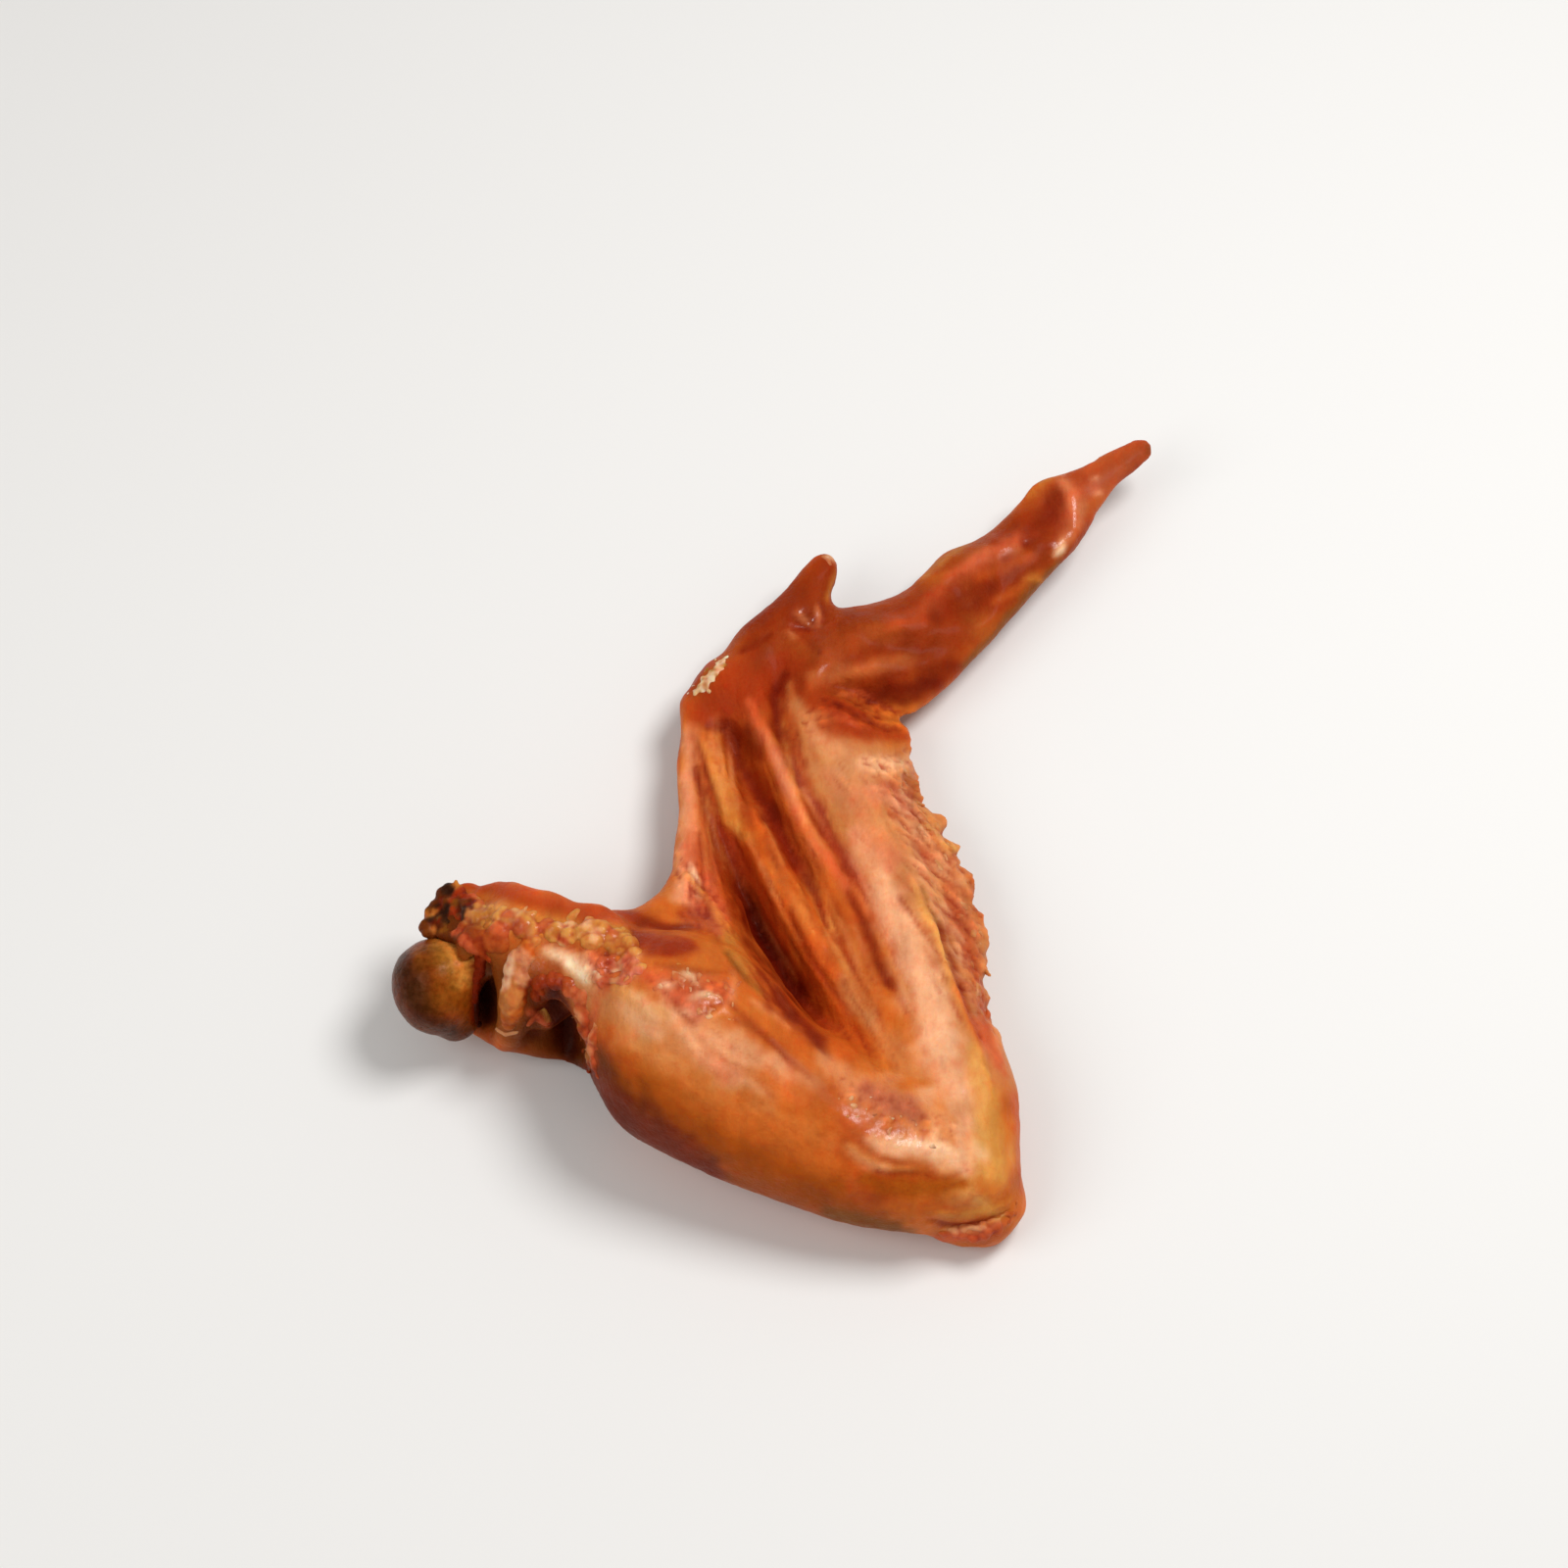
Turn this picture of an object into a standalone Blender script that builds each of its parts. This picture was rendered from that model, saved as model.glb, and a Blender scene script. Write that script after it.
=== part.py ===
"""A whole smoked turkey wing, lying flat: shoulder at the left, elbow in front, wrist and wing tip behind.

Skin, meat and the bones inside them are one solid. The upper arm bone, whose head shows at the cut
shoulder, is a second solid that runs on inside the meat. Places and sizes below are in millimetres, +Y
being away from the elbow and +Z up.
"""

import math

import bmesh
import bpy
import numpy as np
from mathutils import Matrix, Vector

MM = 0.001

GRID = 1.3                 # size of the grid that fuses muscles, skin and folds into one surface
MUSCLE_SMOOTHING = 14      # rounds of smoothing over that grid, before the folds are laid on
SKIN_SMOOTHING = 2         # rounds after they are laid on, and again after the relief
SMOOTHING_SHARE = 0.5      # how far each round moves a point towards its neighbours' middle
WING_TRIANGLES = 10400
BONE_TRIANGLES = 900
BONE_GRID = 1.0            # the grid that fuses the bone's shaft and ends
BONE_GAP = 0.6             # free space round the bone, so that the two solids never touch
REST_DEPTH = 1.0           # how far the meat is flattened where it lies on the table
TABLE_SIDE = 1000
FADE = 0.2                 # share of a crease's length over which each of its ends dies out
FULLY_FACING = 0.5         # upward part of the skin's direction from which relief has its full height
TUBE_SIDES = 5             # extra points on each quarter of a tube
TUBE_STEPS = 8             # rings between two stations of a tube
LUMP_SIDES = 24
LUMP_RINGS = 16
WELD = 1e-7                # metres

# Muscles and joints: how flat the tube is, 1 being round, and its stations as (x, y, z, radius).
MUSCLES = {
    "upper_arm": (1.0, [(-34, -50, 24, 19), (-27, -53, 25, 23), (-17, -60, 25, 24.5), (-4, -69, 22.5, 22),
                        (10, -76, 20.5, 20), (24, -82, 18, 18), (42, -87, 16, 15)]),
    "web_root": (1.0, [(-20, -24, 20, 6.5), (-16, -36, 22, 10.5), (-7, -47, 21.5, 12), (6, -61, 19, 12),
                       (20, -73, 17, 12)]),
    "web_root_edge": (1.0, [(-20, -14, 17, 4.5), (-16, -23, 19, 6.5), (-9, -34, 19.5, 8),
                            (-2, -45, 17.5, 9), (6, -57, 15, 9)]),
    "ulna_muscle": (1.0, [(50, -90, 14, 9), (47, -77, 15, 12.5), (43, -62, 15.5, 13), (38, -50, 15.5, 13),
                          (34, -36, 15, 12.5), (31, -24, 14.5, 12), (26, -10, 13.5, 12), (21, 5, 13, 12),
                          (18, 18, 13, 11.5), (14, 32, 12.5, 11), (10, 44, 12, 10)]),
    "radius_muscle": (1.0, [(36, -82, 16, 15), (31, -62, 16, 12), (25, -43, 15, 11), (19, -25, 14.5, 10),
                            (13, -5, 14, 9.5), (7, 14, 14, 9), (-1, 30, 14, 9.5), (-7, 41, 14, 9)]),
    "hand": (0.6, [(4, 44, 13, 13), (13, 46, 13, 16), (23, 48, 12.5, 16.4), (32, 52.5, 12.5, 14.6),
                   (41, 59, 12.5, 12.8), (50.5, 68, 13, 11.6), (59, 76.5, 13.5, 10.5), (66, 84, 14, 9.3),
                   (72, 91, 15, 7.6), (80, 98.5, 16, 5.9), (87, 104.5, 17, 5), (94, 109.5, 17.5, 4.3)]),
    "hand_rear_edge": (0.85, [(29, 38, 12, 6.5), (36, 41.5, 12, 5), (46.5, 52, 12, 4.4),
                              (55, 61, 12.5, 4)]),
    "thumb": (0.85, [(-3, 50, 14, 8.5), (2.5, 55, 14.5, 8.4), (6.5, 61, 15.5, 6.8), (9.5, 67, 16, 5.3),
                     (12.8, 74, 16.5, 4.2)]),
}

# Skin folds and tendons, which ride on the web between the upper arm and the forearm.
FOLDS = {
    "leading_edge": (1.0, [(-15.5, 36, 15, 5), (-17, 22, 16, 4), (-18, 8, 17, 3.8), (-18.5, -5, 18.5, 4.2),
                           (-19.5, -16, 20.5, 4.8), (-25, -27, 23, 6.5), (-37, -39, 26, 9.5)]),
    "fold_at_edge": (1.0, [(-16, 26, 17, 3), (-14, 10, 17.5, 2.8), (-12, -5, 18.5, 2.8),
                           (-10, -16, 20, 3.4), (-9, -28, 20, 5)]),
    "fold_small": (1.0, [(-14, 27, 17, 3.5), (-11.5, 14, 17.5, 3.6), (-8, 3, 18, 3.8), (-4, -6, 18, 4)]),
    "fold_main": (1.0, [(-9, 12, 13, 3), (-7.5, 7, 17, 4), (-3.5, -2, 18, 5), (2, -14, 18.5, 5.6),
                        (7, -25, 19, 5.8), (12, -36, 19, 5.8), (18, -48, 18, 5.8), (24, -60, 14, 6),
                        (30, -71, 9, 5)]),
    "fold_third": (1.0, [(9, -12, 12, 3), (12, -20, 17.5, 3.8), (16, -29, 19.2, 4.4), (21, -38, 19.5, 4.8),
                         (27, -49, 18, 5), (33, -60, 13, 5), (39, -71, 8, 5)]),
    "fold_of_wrist": (1.0, [(-6, 42, 13, 4), (-4, 35, 18, 4.4), (-1, 25, 19.5, 4.2), (4, 12, 20, 4.2),
                            (9, -2, 20, 4), (14, -13, 19.5, 4), (20, -26, 19, 4), (26, -40, 16.5, 4),
                            (31, -52, 11, 4)]),
}

# What shows at the cut shoulder: the torn edge of the skin, and the tendons between it and the bone's head.
SHOULDER = {
    "skin_over_joint": (1.0, [(-26, -50, 27, 18.5), (-34, -47, 29, 15.5), (-42, -43.5, 30, 11.5),
                              (-49, -40.5, 29.5, 9), (-56, -38.5, 29, 8), (-64, -36.5, 28, 7.6),
                              (-71, -35.5, 26.5, 6.6)]),
    "skin_under_joint": (0.6, [(-34, -49, 11, 12), (-47, -46, 9, 10), (-59, -43, 8, 9.5), (-68, -40, 8, 8),
                               (-75, -38, 8, 6)]),
    "skin_behind_joint": (1.0, [(-36, -41, 18, 10), (-50, -36, 18, 7), (-62, -33, 18, 6.5),
                                (-69, -32, 18, 5.5)]),
    "tendon": (1.0, [(-57, -40, 29, 6), (-57.5, -46, 27, 5), (-59, -50.5, 20, 4), (-61.5, -51, 9, 3.4)]),
    "torn_skin_left": (1.0, [(-71, -34, 25, 5), (-74, -28, 26, 3.8), (-76.5, -22, 25, 3)]),
    "torn_skin_middle": (1.0, [(-66, -33, 27, 5.6), (-69.5, -25, 28, 4), (-71, -18, 27, 3.2)]),
    "torn_skin_right": (1.0, [(-60, -34, 28, 5.6), (-63, -27, 28.5, 4.2), (-66, -22, 28, 3.4)]),
}

# Rounded masses: centre, radii and turn about Z in degrees.
LUMPS = {
    "elbow_point": ((43, -86, 15), (15, 13, 14), 0),
    "elbow_corner": ((51.5, -91.5, 9), (8, 10.5, 9), 0),
    "elbow_lip": ((46, -94, 7.5), (11, 7.5, 7), 0),
    "middle_finger_joint": ((45, 77, 13), (5.5, 3.6, 4.5), 40),
    "end_finger_joint": ((67.5, 94, 15), (5, 3.5, 4), 40),
    "rear_finger_joint": ((58, 65.5, 12.5), (6, 4, 5), 50),
    "wrist_knuckle": ((-10, 39, 14), (10, 8, 9), 40),
    "wrist_back": ((-4, 48, 14), (8, 8, 8), 40),
    "wrist_heel": ((6, 40, 9.5), (12, 9, 8.5), 30),
    "shoulder_fat_far": ((-62, -31, 30), (7, 5, 4.5), 10),
    "shoulder_fat_middle": ((-50, -33.5, 32.5), (7, 5, 5), -10),
    "shoulder_fat_near": ((-38, -37, 35), (8, 6.5, 5.5), -20),
    "cut_rim_high": ((-41.5, -50, 29), (4, 4, 4), 0),
    "cut_rim_middle": ((-40, -56, 24), (4, 4, 4), 0),
    "cut_rim_low": ((-39, -61, 18), (4, 4, 4), 0),
}

TENDON_STUMP = (1.0, [(-46, -44, 22, 4.5), (-51, -48, 18.5, 3.6), (-54, -50, 17, 3)])

# Hollows between the skin and the bone at the cut shoulder, as lumps that are cut away.
HOLLOWS = {
    "behind_tendon": ((-47.5, -55, 20), (6.4, 11.5, 13), -12),
    "behind_bone_head": ((-66, -47, 26), (3.2, 11, 11.5), 0),
}

# Quill sockets, which make the forearm's rear edge ragged: (x, y, radius).
QUILL_SOCKETS = [(30.5, 27, 3.4), (32, 19, 2.8), (35.5, 11, 3.8), (40.5, 4, 3.2), (42, -2.5, 2.8),
                 (45, -10.5, 4), (47, -19, 3.2), (48.5, -26.5, 3.6), (48.5, -35, 2.8), (49, -43, 3.6),
                 (50, -52, 3.2), (52, -61, 3.4)]
QUILL_SOCKET_HEIGHT = 12.5

# Sheets of skin: outline, height and thickness. The first spans shoulder to wrist, the second ends at the
# forearm's rear edge.
WEB_OUTLINE = [(-17, 38), (-19, 22), (-19.5, 8), (-20, -4), (-21.5, -14), (-25, -22), (-32, -28),
               (-40, -38), (-34, -52), (12, -72), (34, -56), (24, -20), (14, 6), (4, 40)]
REAR_SKIN_OUTLINE = [(14, 36), (32, 29), (33, 22), (36, 12), (41, 3), (45, -6), (48, -19), (50.5, -32),
                     (51, -46), (53.5, -60), (56, -75), (57, -88), (44, -90), (26, -40), (16, 0)]
SHEETS = [(WEB_OUTLINE, 13.5, 7), (REAR_SKIN_OUTLINE, 12.5, 7)]

# Relief of the upper skin, as height (below zero a crease), width and the line that it follows, as (x, y).
UPPER_RELIEF = [
    (-5.5, 4.0, [(-11, 8), (-8.5, -4), (-6, -14), (-2, -24), (2, -33), (6, -42), (11, -52), (16, -61)]),
    (-2.0, 2.0, [(0, 8), (3.5, -2), (8.5, -12), (13, -24), (18, -34), (24, -44)]),
    (-2.0, 2.6, [(6, 16), (10, 6), (14, -4), (18, -13), (22, -24), (27, -36), (32, -50)]),
    (-2.0, 1.7, [(-18, 30), (-16, 16), (-14, 4), (-11, -9), (-9, -20)]),
    (-3.0, 3.6, [(-12, 30), (-8, 21), (-4, 12), (-1, 4)]),
    (1.2, 1.6, [(36, -18), (38, -28), (41, -38), (44, -48), (47, -60), (49, -70)]),
    (-1.2, 1.8, [(39, -18), (41, -28), (44, -38), (47, -48), (50, -60), (52, -70)]),
    (-3.5, 3.2, [(10, 39), (20, 36.5), (28, 35), (40, 33)]),
    (-2.2, 1.8, [(1, 43), (1, 36), (2, 29), (5, 20)]),
    (-2.4, 4.0, [(43, 68), (48, 63), (53, 58)]),
    (-2.0, 3.6, [(64, 93), (68, 88), (71, 82)]),
    (1.3, 1.8, [(72, 97), (73, 89), (74, 82), (71, 77)]),
    (1.4, 2.6, [(42, 72), (50, 76), (60, 79)]),
    (-1.4, 2.0, [(20, 50), (30, 47), (40, 49), (46, 52)]),
    (1.2, 2.2, [(18, 55), (32, 54), (42, 57)]),
    (1.6, 2.4, [(4, 57), (8, 59), (12, 60)]),
    (-1.8, 1.6, [(15, 59), (10, 55), (4, 53)]),
]

# Relief of the hidden side, in the same form.
LOWER_RELIEF = [
    (-2.2, 3.0, [(-14, 24), (-10, 4), (-2, -16), (8, -34)]),
    (-2.0, 2.6, [(-2, 26), (6, 4), (14, -16), (24, -40)]),
    (1.6, 3.0, [(-8, 26), (-3, 4), (6, -16), (16, -38)]),
    (-2.0, 3.0, [(22, 22), (30, -4), (37, -30), (42, -56), (46, -76)]),
    (-1.8, 3.0, [(-38, -58), (-20, -70), (0, -82), (22, -92)]),
    (-2.5, 3.0, [(8, 38), (18, 36), (30, 34), (40, 32)]),
    (-1.6, 2.6, [(18, 50), (34, 52), (50, 64), (66, 82)]),
    (-1.8, 1.8, [(15, 59), (10, 55), (2, 53)]),
]

# The upper arm bone.
BONE_SHAFT = [(-74, -41, 22, 8), (-66, -37.5, 26.5, 5), (-54, -39.5, 28, 4.6), (-38, -48, 27, 4.6),
              (-8, -67, 22, 4.6), (24, -81, 17, 5.4)]
BONE_LUMPS = {
    "head": ((-77, -42, 21), (10, 11.5, 11.5), 0),
    "crest": ((-73, -47, 15), (6, 6, 6), 0),
    "far_end": ((24, -81, 17), (6.5, 6.5, 6), 0),
}


def clear_scene():
    for item in list(bpy.data.objects):
        bpy.data.objects.remove(item)


def add_object(name, data):
    item = bpy.data.objects.new(name, data)
    bpy.context.scene.collection.objects.link(item)
    return item


def baked(item):
    """The object's evaluated shape as a new mesh in world space. The object itself is removed."""
    bpy.context.view_layer.update()
    graph = bpy.context.evaluated_depsgraph_get()
    mesh = bpy.data.meshes.new_from_object(item.evaluated_get(graph))
    mesh.transform(item.matrix_world)
    bpy.data.objects.remove(item)
    return mesh


def tube(flatness, stations, extra=0.0):
    """A tapered tube through the stations, flattened in Z, with closed ends."""
    curve = bpy.data.curves.new("tube", "CURVE")
    curve.dimensions = "3D"
    curve.bevel_depth = MM
    curve.bevel_resolution = TUBE_SIDES
    curve.resolution_u = TUBE_STEPS
    curve.use_fill_caps = True
    spline = curve.splines.new("BEZIER")
    spline.radius_interpolation = "CARDINAL"
    spline.bezier_points.add(len(stations) - 1)
    for point, (x, y, z, radius) in zip(spline.bezier_points, stations):
        point.co = Vector((x, y, z / flatness)) * MM
        point.radius = radius + extra
        point.handle_left_type = point.handle_right_type = "AUTO"
    item = add_object("tube", curve)
    item.scale = (1, 1, flatness)
    return baked(item)


def lump(centre, radii, turn=0, extra=0.0):
    """An ellipsoid."""
    mesh = bpy.data.meshes.new("lump")
    shape = bmesh.new()
    bmesh.ops.create_uvsphere(shape, u_segments=LUMP_SIDES, v_segments=LUMP_RINGS, radius=MM)
    shape.to_mesh(mesh)
    shape.free()
    mesh.transform(Matrix.Diagonal([radius + extra for radius in radii] + [1]))
    mesh.transform(Matrix.Rotation(math.radians(turn), 4, "Z"))
    mesh.transform(Matrix.Translation(Vector(centre) * MM))
    return mesh


def sheet(outline, height, thickness):
    """A flat sheet of skin cut to an outline."""
    curve = bpy.data.curves.new("sheet", "CURVE")
    curve.dimensions = "2D"
    curve.fill_mode = "BOTH"
    curve.extrude = thickness / 2 * MM
    spline = curve.splines.new("POLY")
    spline.points.add(len(outline) - 1)
    for point, (x, y) in zip(spline.points, outline):
        point.co = (x * MM, y * MM, 0, 1)
    spline.use_cyclic_u = True
    item = add_object("sheet", curve)
    item.location.z = height * MM
    return baked(item)


def fused(name, meshes, grid):
    """One object whose surface is the outside of all the meshes together, on an even grid."""
    shape = bmesh.new()
    for mesh in meshes:
        shape.from_mesh(mesh)
    bmesh.ops.remove_doubles(shape, verts=shape.verts, dist=WELD)
    bmesh.ops.recalc_face_normals(shape, faces=shape.faces)
    joined = bpy.data.meshes.new(name)
    shape.to_mesh(joined)
    shape.free()
    return regridded(add_object(name, joined), grid)


def taken(item):
    """The object's mesh, without the object."""
    mesh = item.data
    bpy.data.objects.remove(item)
    return mesh


def regridded(item, grid):
    remesh = item.modifiers.new("fuse", "REMESH")
    remesh.mode = "VOXEL"
    remesh.voxel_size = grid * MM
    return renewed(item)


def renewed(item):
    """The object with its modifiers applied."""
    name = item.name
    mesh = baked(item)
    return add_object(name, mesh)


def cut(item, cutter):
    boolean = item.modifiers.new("cut", "BOOLEAN")
    boolean.operation = "DIFFERENCE"
    boolean.object = cutter
    item = renewed(item)
    bpy.data.objects.remove(cutter)
    return item


def smooth(item, rounds):
    shape = bmesh.new()
    shape.from_mesh(item.data)
    for _ in range(rounds):
        bmesh.ops.smooth_vert(
            shape,
            verts=shape.verts,
            factor=SMOOTHING_SHARE,
            use_axis_x=True,
            use_axis_y=True,
            use_axis_z=True,
        )
    shape.to_mesh(item.data)
    shape.free()


def distance_to_line(points, line):
    """How far each (x, y) point is from a line of straight stretches, and how far along it, from 0 to 1."""
    line = np.array(line, float)
    lengths = np.linalg.norm(np.diff(line, axis=0), axis=1)
    starts = np.concatenate([[0], np.cumsum(lengths)])
    nearest = np.full(len(points), np.inf)
    along = np.zeros(len(points))
    for start, end, length, before in zip(line[:-1], line[1:], lengths, starts):
        step = (end - start) / length
        reach = np.clip((points - start) @ step, 0, length)
        away = np.linalg.norm(points - start - reach[:, None] * step, axis=1)
        closer = away < nearest
        nearest[closer] = away[closer]
        along[closer] = (before + reach[closer]) / starts[-1]
    return nearest, along


def add_relief(item, relief, side):
    """Raises or presses the skin along each line where it faces the side, +1 up or -1 down."""
    mesh = item.data
    places = np.empty(len(mesh.vertices) * 3)
    normals = np.empty(len(mesh.vertices) * 3)
    mesh.vertices.foreach_get("co", places)
    mesh.vertices.foreach_get("normal", normals)
    places = places.reshape(-1, 3) / MM
    normals = normals.reshape(-1, 3)
    facing = np.clip(normals[:, 2] * side / FULLY_FACING, 0, 1)
    heights = np.zeros(len(places))
    for height, width, line in relief:
        away, along = distance_to_line(places[:, :2], line)
        fade = np.clip(np.minimum(along, 1 - along) / FADE, 0, 1)
        heights += height * np.exp(-((away / width) ** 2)) * fade
    places[:, 2] += heights * facing * side
    mesh.vertices.foreach_set("co", (places * MM).ravel())
    mesh.update()


def thinned(item, triangles):
    """The object with its faces merged down to about that many triangles."""
    item.data.calc_loop_triangles()
    reduce = item.modifiers.new("thin", "DECIMATE")
    reduce.ratio = triangles / len(item.data.loop_triangles)
    reduce.use_collapse_triangulate = True
    return renewed(item)


def table():
    """A block wider than the wing whose top is at height 0."""
    mesh = bpy.data.meshes.new("table")
    shape = bmesh.new()
    bmesh.ops.create_cube(shape, size=TABLE_SIDE * MM)
    bmesh.ops.translate(shape, verts=shape.verts, vec=(0, 0, -TABLE_SIDE / 2 * MM))
    shape.to_mesh(mesh)
    shape.free()
    return add_object("table", mesh)


def bounds(items):
    corners = np.array([vertex.co for item in items for vertex in item.data.vertices])
    return corners.min(axis=0), corners.max(axis=0)


def move(item, offset):
    item.data.transform(Matrix.Translation(offset))


def bone_shape(name, extra, triangles):
    masses = [tube(1.0, BONE_SHAFT, extra)] + [lump(*values, extra=extra) for values in BONE_LUMPS.values()]
    return thinned(fused(name, masses, BONE_GRID), triangles)


def give_material(item, name, colour, roughness):
    material = bpy.data.materials.new(name)
    material.use_nodes = True
    surface = material.node_tree.nodes["Principled BSDF"]
    surface.inputs["Base Color"].default_value = (*colour, 1)
    surface.inputs["Roughness"].default_value = roughness
    item.data.materials.clear()
    item.data.materials.append(material)


def build_muscles():
    masses = [tube(*values) for values in MUSCLES.values()]
    masses += [lump(*values) for values in LUMPS.values()]
    masses += [sheet(*values) for values in SHEETS]
    muscles = fused("muscles", masses, GRID)
    smooth(muscles, MUSCLE_SMOOTHING)
    return muscles


def build_wing():
    muscles = build_muscles()
    details = [tube(*values) for values in list(FOLDS.values()) + list(SHOULDER.values())]
    details += [lump((x, y, QUILL_SOCKET_HEIGHT), [radius] * 3) for x, y, radius in QUILL_SOCKETS]
    wing = fused("wing", [taken(muscles)] + details, GRID)
    hollows = fused("hollows", [lump(*values) for values in HOLLOWS.values()], GRID)
    wing = fused("wing", [taken(cut(wing, hollows)), tube(*TENDON_STUMP)], GRID)
    smooth(wing, SKIN_SMOOTHING)
    add_relief(wing, UPPER_RELIEF, 1)
    add_relief(wing, LOWER_RELIEF, -1)
    wing = regridded(wing, GRID)
    smooth(wing, SKIN_SMOOTHING)
    wing = thinned(wing, WING_TRIANGLES)
    return cut(wing, bone_shape("bore", BONE_GAP, BONE_TRIANGLES))


def main():
    clear_scene()
    wing = build_wing()
    bone = bone_shape("arm_bone", 0, BONE_TRIANGLES)
    lift = -bounds([wing])[0][2] - REST_DEPTH * MM
    move(wing, (0, 0, lift))
    move(bone, (0, 0, lift))
    wing = cut(wing, table())
    low, high = bounds([wing, bone])
    middle = (low + high) / 2
    collection = bpy.data.collections.new("turkey_wing")
    bpy.context.scene.collection.children.link(collection)
    for item in (wing, bone):
        move(item, (-middle[0], -middle[1], 0))
        item.data.shade_smooth()
        bpy.context.scene.collection.objects.unlink(item)
        collection.objects.link(item)
    give_material(wing, "smoked_skin", (0.42, 0.12, 0.035), 0.4)
    give_material(bone, "bone_and_cartilage", (0.5, 0.3, 0.1), 0.3)


main()
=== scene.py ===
import math
import random

import bmesh
import bpy
import numpy as np
from mathutils import Matrix, Vector, noise
from mathutils.bvhtree import BVHTree
from mathutils.kdtree import KDTree


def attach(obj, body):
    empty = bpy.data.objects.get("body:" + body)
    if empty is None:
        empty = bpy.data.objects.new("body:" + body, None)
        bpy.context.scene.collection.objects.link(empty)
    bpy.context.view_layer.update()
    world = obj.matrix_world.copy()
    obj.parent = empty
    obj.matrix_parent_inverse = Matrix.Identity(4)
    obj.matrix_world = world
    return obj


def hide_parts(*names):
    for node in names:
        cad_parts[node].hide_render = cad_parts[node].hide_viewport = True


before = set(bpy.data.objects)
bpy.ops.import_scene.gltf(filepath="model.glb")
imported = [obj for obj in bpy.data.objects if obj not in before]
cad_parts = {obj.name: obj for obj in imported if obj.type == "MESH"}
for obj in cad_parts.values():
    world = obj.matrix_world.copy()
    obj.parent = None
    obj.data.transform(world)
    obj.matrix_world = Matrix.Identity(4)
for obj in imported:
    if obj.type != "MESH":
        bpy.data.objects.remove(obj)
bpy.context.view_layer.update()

# The wing lies on a table and is seen from in front of it and above, 62 degrees above
# the table, from a little over a metre away. Places along the skin's folds are given in
# pixels of the photograph, which is 1600 pixels wide, and this camera carries them over.
PHOTO_SIDE = 1600
FOCAL_PIXELS = 4697
SENSOR = 36
CAMERA_PLACE = Vector((0.000493, -0.504276, 0.980038))
CAMERA_ABOVE = math.radians(62)

camera_right = Vector((1, 0, 0))
camera_up = Vector((0, math.sin(CAMERA_ABOVE), math.cos(CAMERA_ABOVE)))
camera_ahead = Vector((0, math.cos(CAMERA_ABOVE), -math.sin(CAMERA_ABOVE)))


def put_in_scene(name, data):
    """A new object with this name and data, put in the scene."""
    thing = bpy.data.objects.new(name, data)
    bpy.context.scene.collection.objects.link(thing)
    return thing


camera_data = bpy.data.cameras.new("camera")
camera_data.sensor_width = SENSOR
camera_data.lens = SENSOR * FOCAL_PIXELS / PHOTO_SIDE
camera = put_in_scene("camera", camera_data)
camera_turn = camera_ahead.to_track_quat("-Z", "Y").to_matrix().to_4x4()
camera.matrix_world = Matrix.Translation(CAMERA_PLACE) @ camera_turn
bpy.context.scene.camera = camera


# The skin with the meat in it: one smoked and glazed turkey wing, cut off at the shoulder.
# Smoke and fat turned it amber, copper and dark red. The web of skin between the upper arm
# and the forearm hangs in deep folds, and the forearm's rear edge is torn where quills sat.
MILLIMETRE = 0.001
MERGE_DISTANCE = 1e-7
SKIN_GRID = 0.78 * MILLIMETRE

# Rounds of evening: of the CAD's faces, of the finished folds and of the colours. In each a
# point goes this share of the way to the mean of those around it, and then this share back.
SKIN_EVENING = 20
LAST_EVENING = 2
PAINT_EVENING = 3
EVENING_SHARE = 0.5
GIVING_BACK = -0.53

# The skin's own relief in millimetres, and how unevenly its folds stand.
SWELLS = 0.18
WRINKLES = 0.1
PORES = 0.05
FOLD_UNEVENNESS = 0.6

# How fully a stroke covers the skin under it, how far noise breaks its edges, and the paler
# and darker patches that the smoke left.
FULLNESS = 1.3
PAINT_FULLNESS = 1.25
FOLD_FULLNESS = 1.2
GRAIN_FULLNESS = 1.6
STROKE_BREAKS = 0.35
PATCH_STRENGTH = 0.3
PATCH_CONTRAST = 1.5

# How much painted shade darkens the low places and how much painted highlight pales the high
# ones, how sharply the two part, and the rounds of evening that they are measured against.
LOW_SHADE = 0.3
FINE_SHADE = 0.2
HIGH_LIGHT = 0.12
GRAIN_CONTRAST = 3
FINE_CONTRAST = 6
NEAR_ROUNDS = 4
WIDE_ROUNDS = 24

# What shade takes from red, green and blue, the least that is left of each, and what the
# smoke leaves of each.
SHADE_SHARES = (0.35, 0.9, 1.0)
DARKEST = 0.01
SMOKE_TINT = (1.0, 1.0, 0.84)

# The smoked skin's and the dried fat's colours, which also paint its highlights and shade.
COLOURS = {
    "amber": "#C86626",
    "apricot": "#C88052",
    "beige": "#E6B48A",
    "blush": "#E4A07C",
    "brass": "#9C6424",
    "burnt orange": "#C4561A",
    "charcoal": "#2A1408",
    "copper": "#B04E20",
    "coral": "#C85A38",
    "cream": "#F0E0CC",
    "dark cherry": "#5C0E02",
    "gold": "#C4803A",
    "honey": "#D49056",
    "mahogany": "#8C300C",
    "maroon": "#3E0E04",
    "mauve": "#A85440",
    "olive": "#7A4812",
    "oxblood": "#761C04",
    "pink": "#D0705C",
    "rosewood": "#AC4624",
    "russet": "#A84E0E",
    "rust": "#A03410",
    "shell": "#F0C0A4",
    "straw": "#D89C54",
    "umber": "#5E2A08",
}

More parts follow.
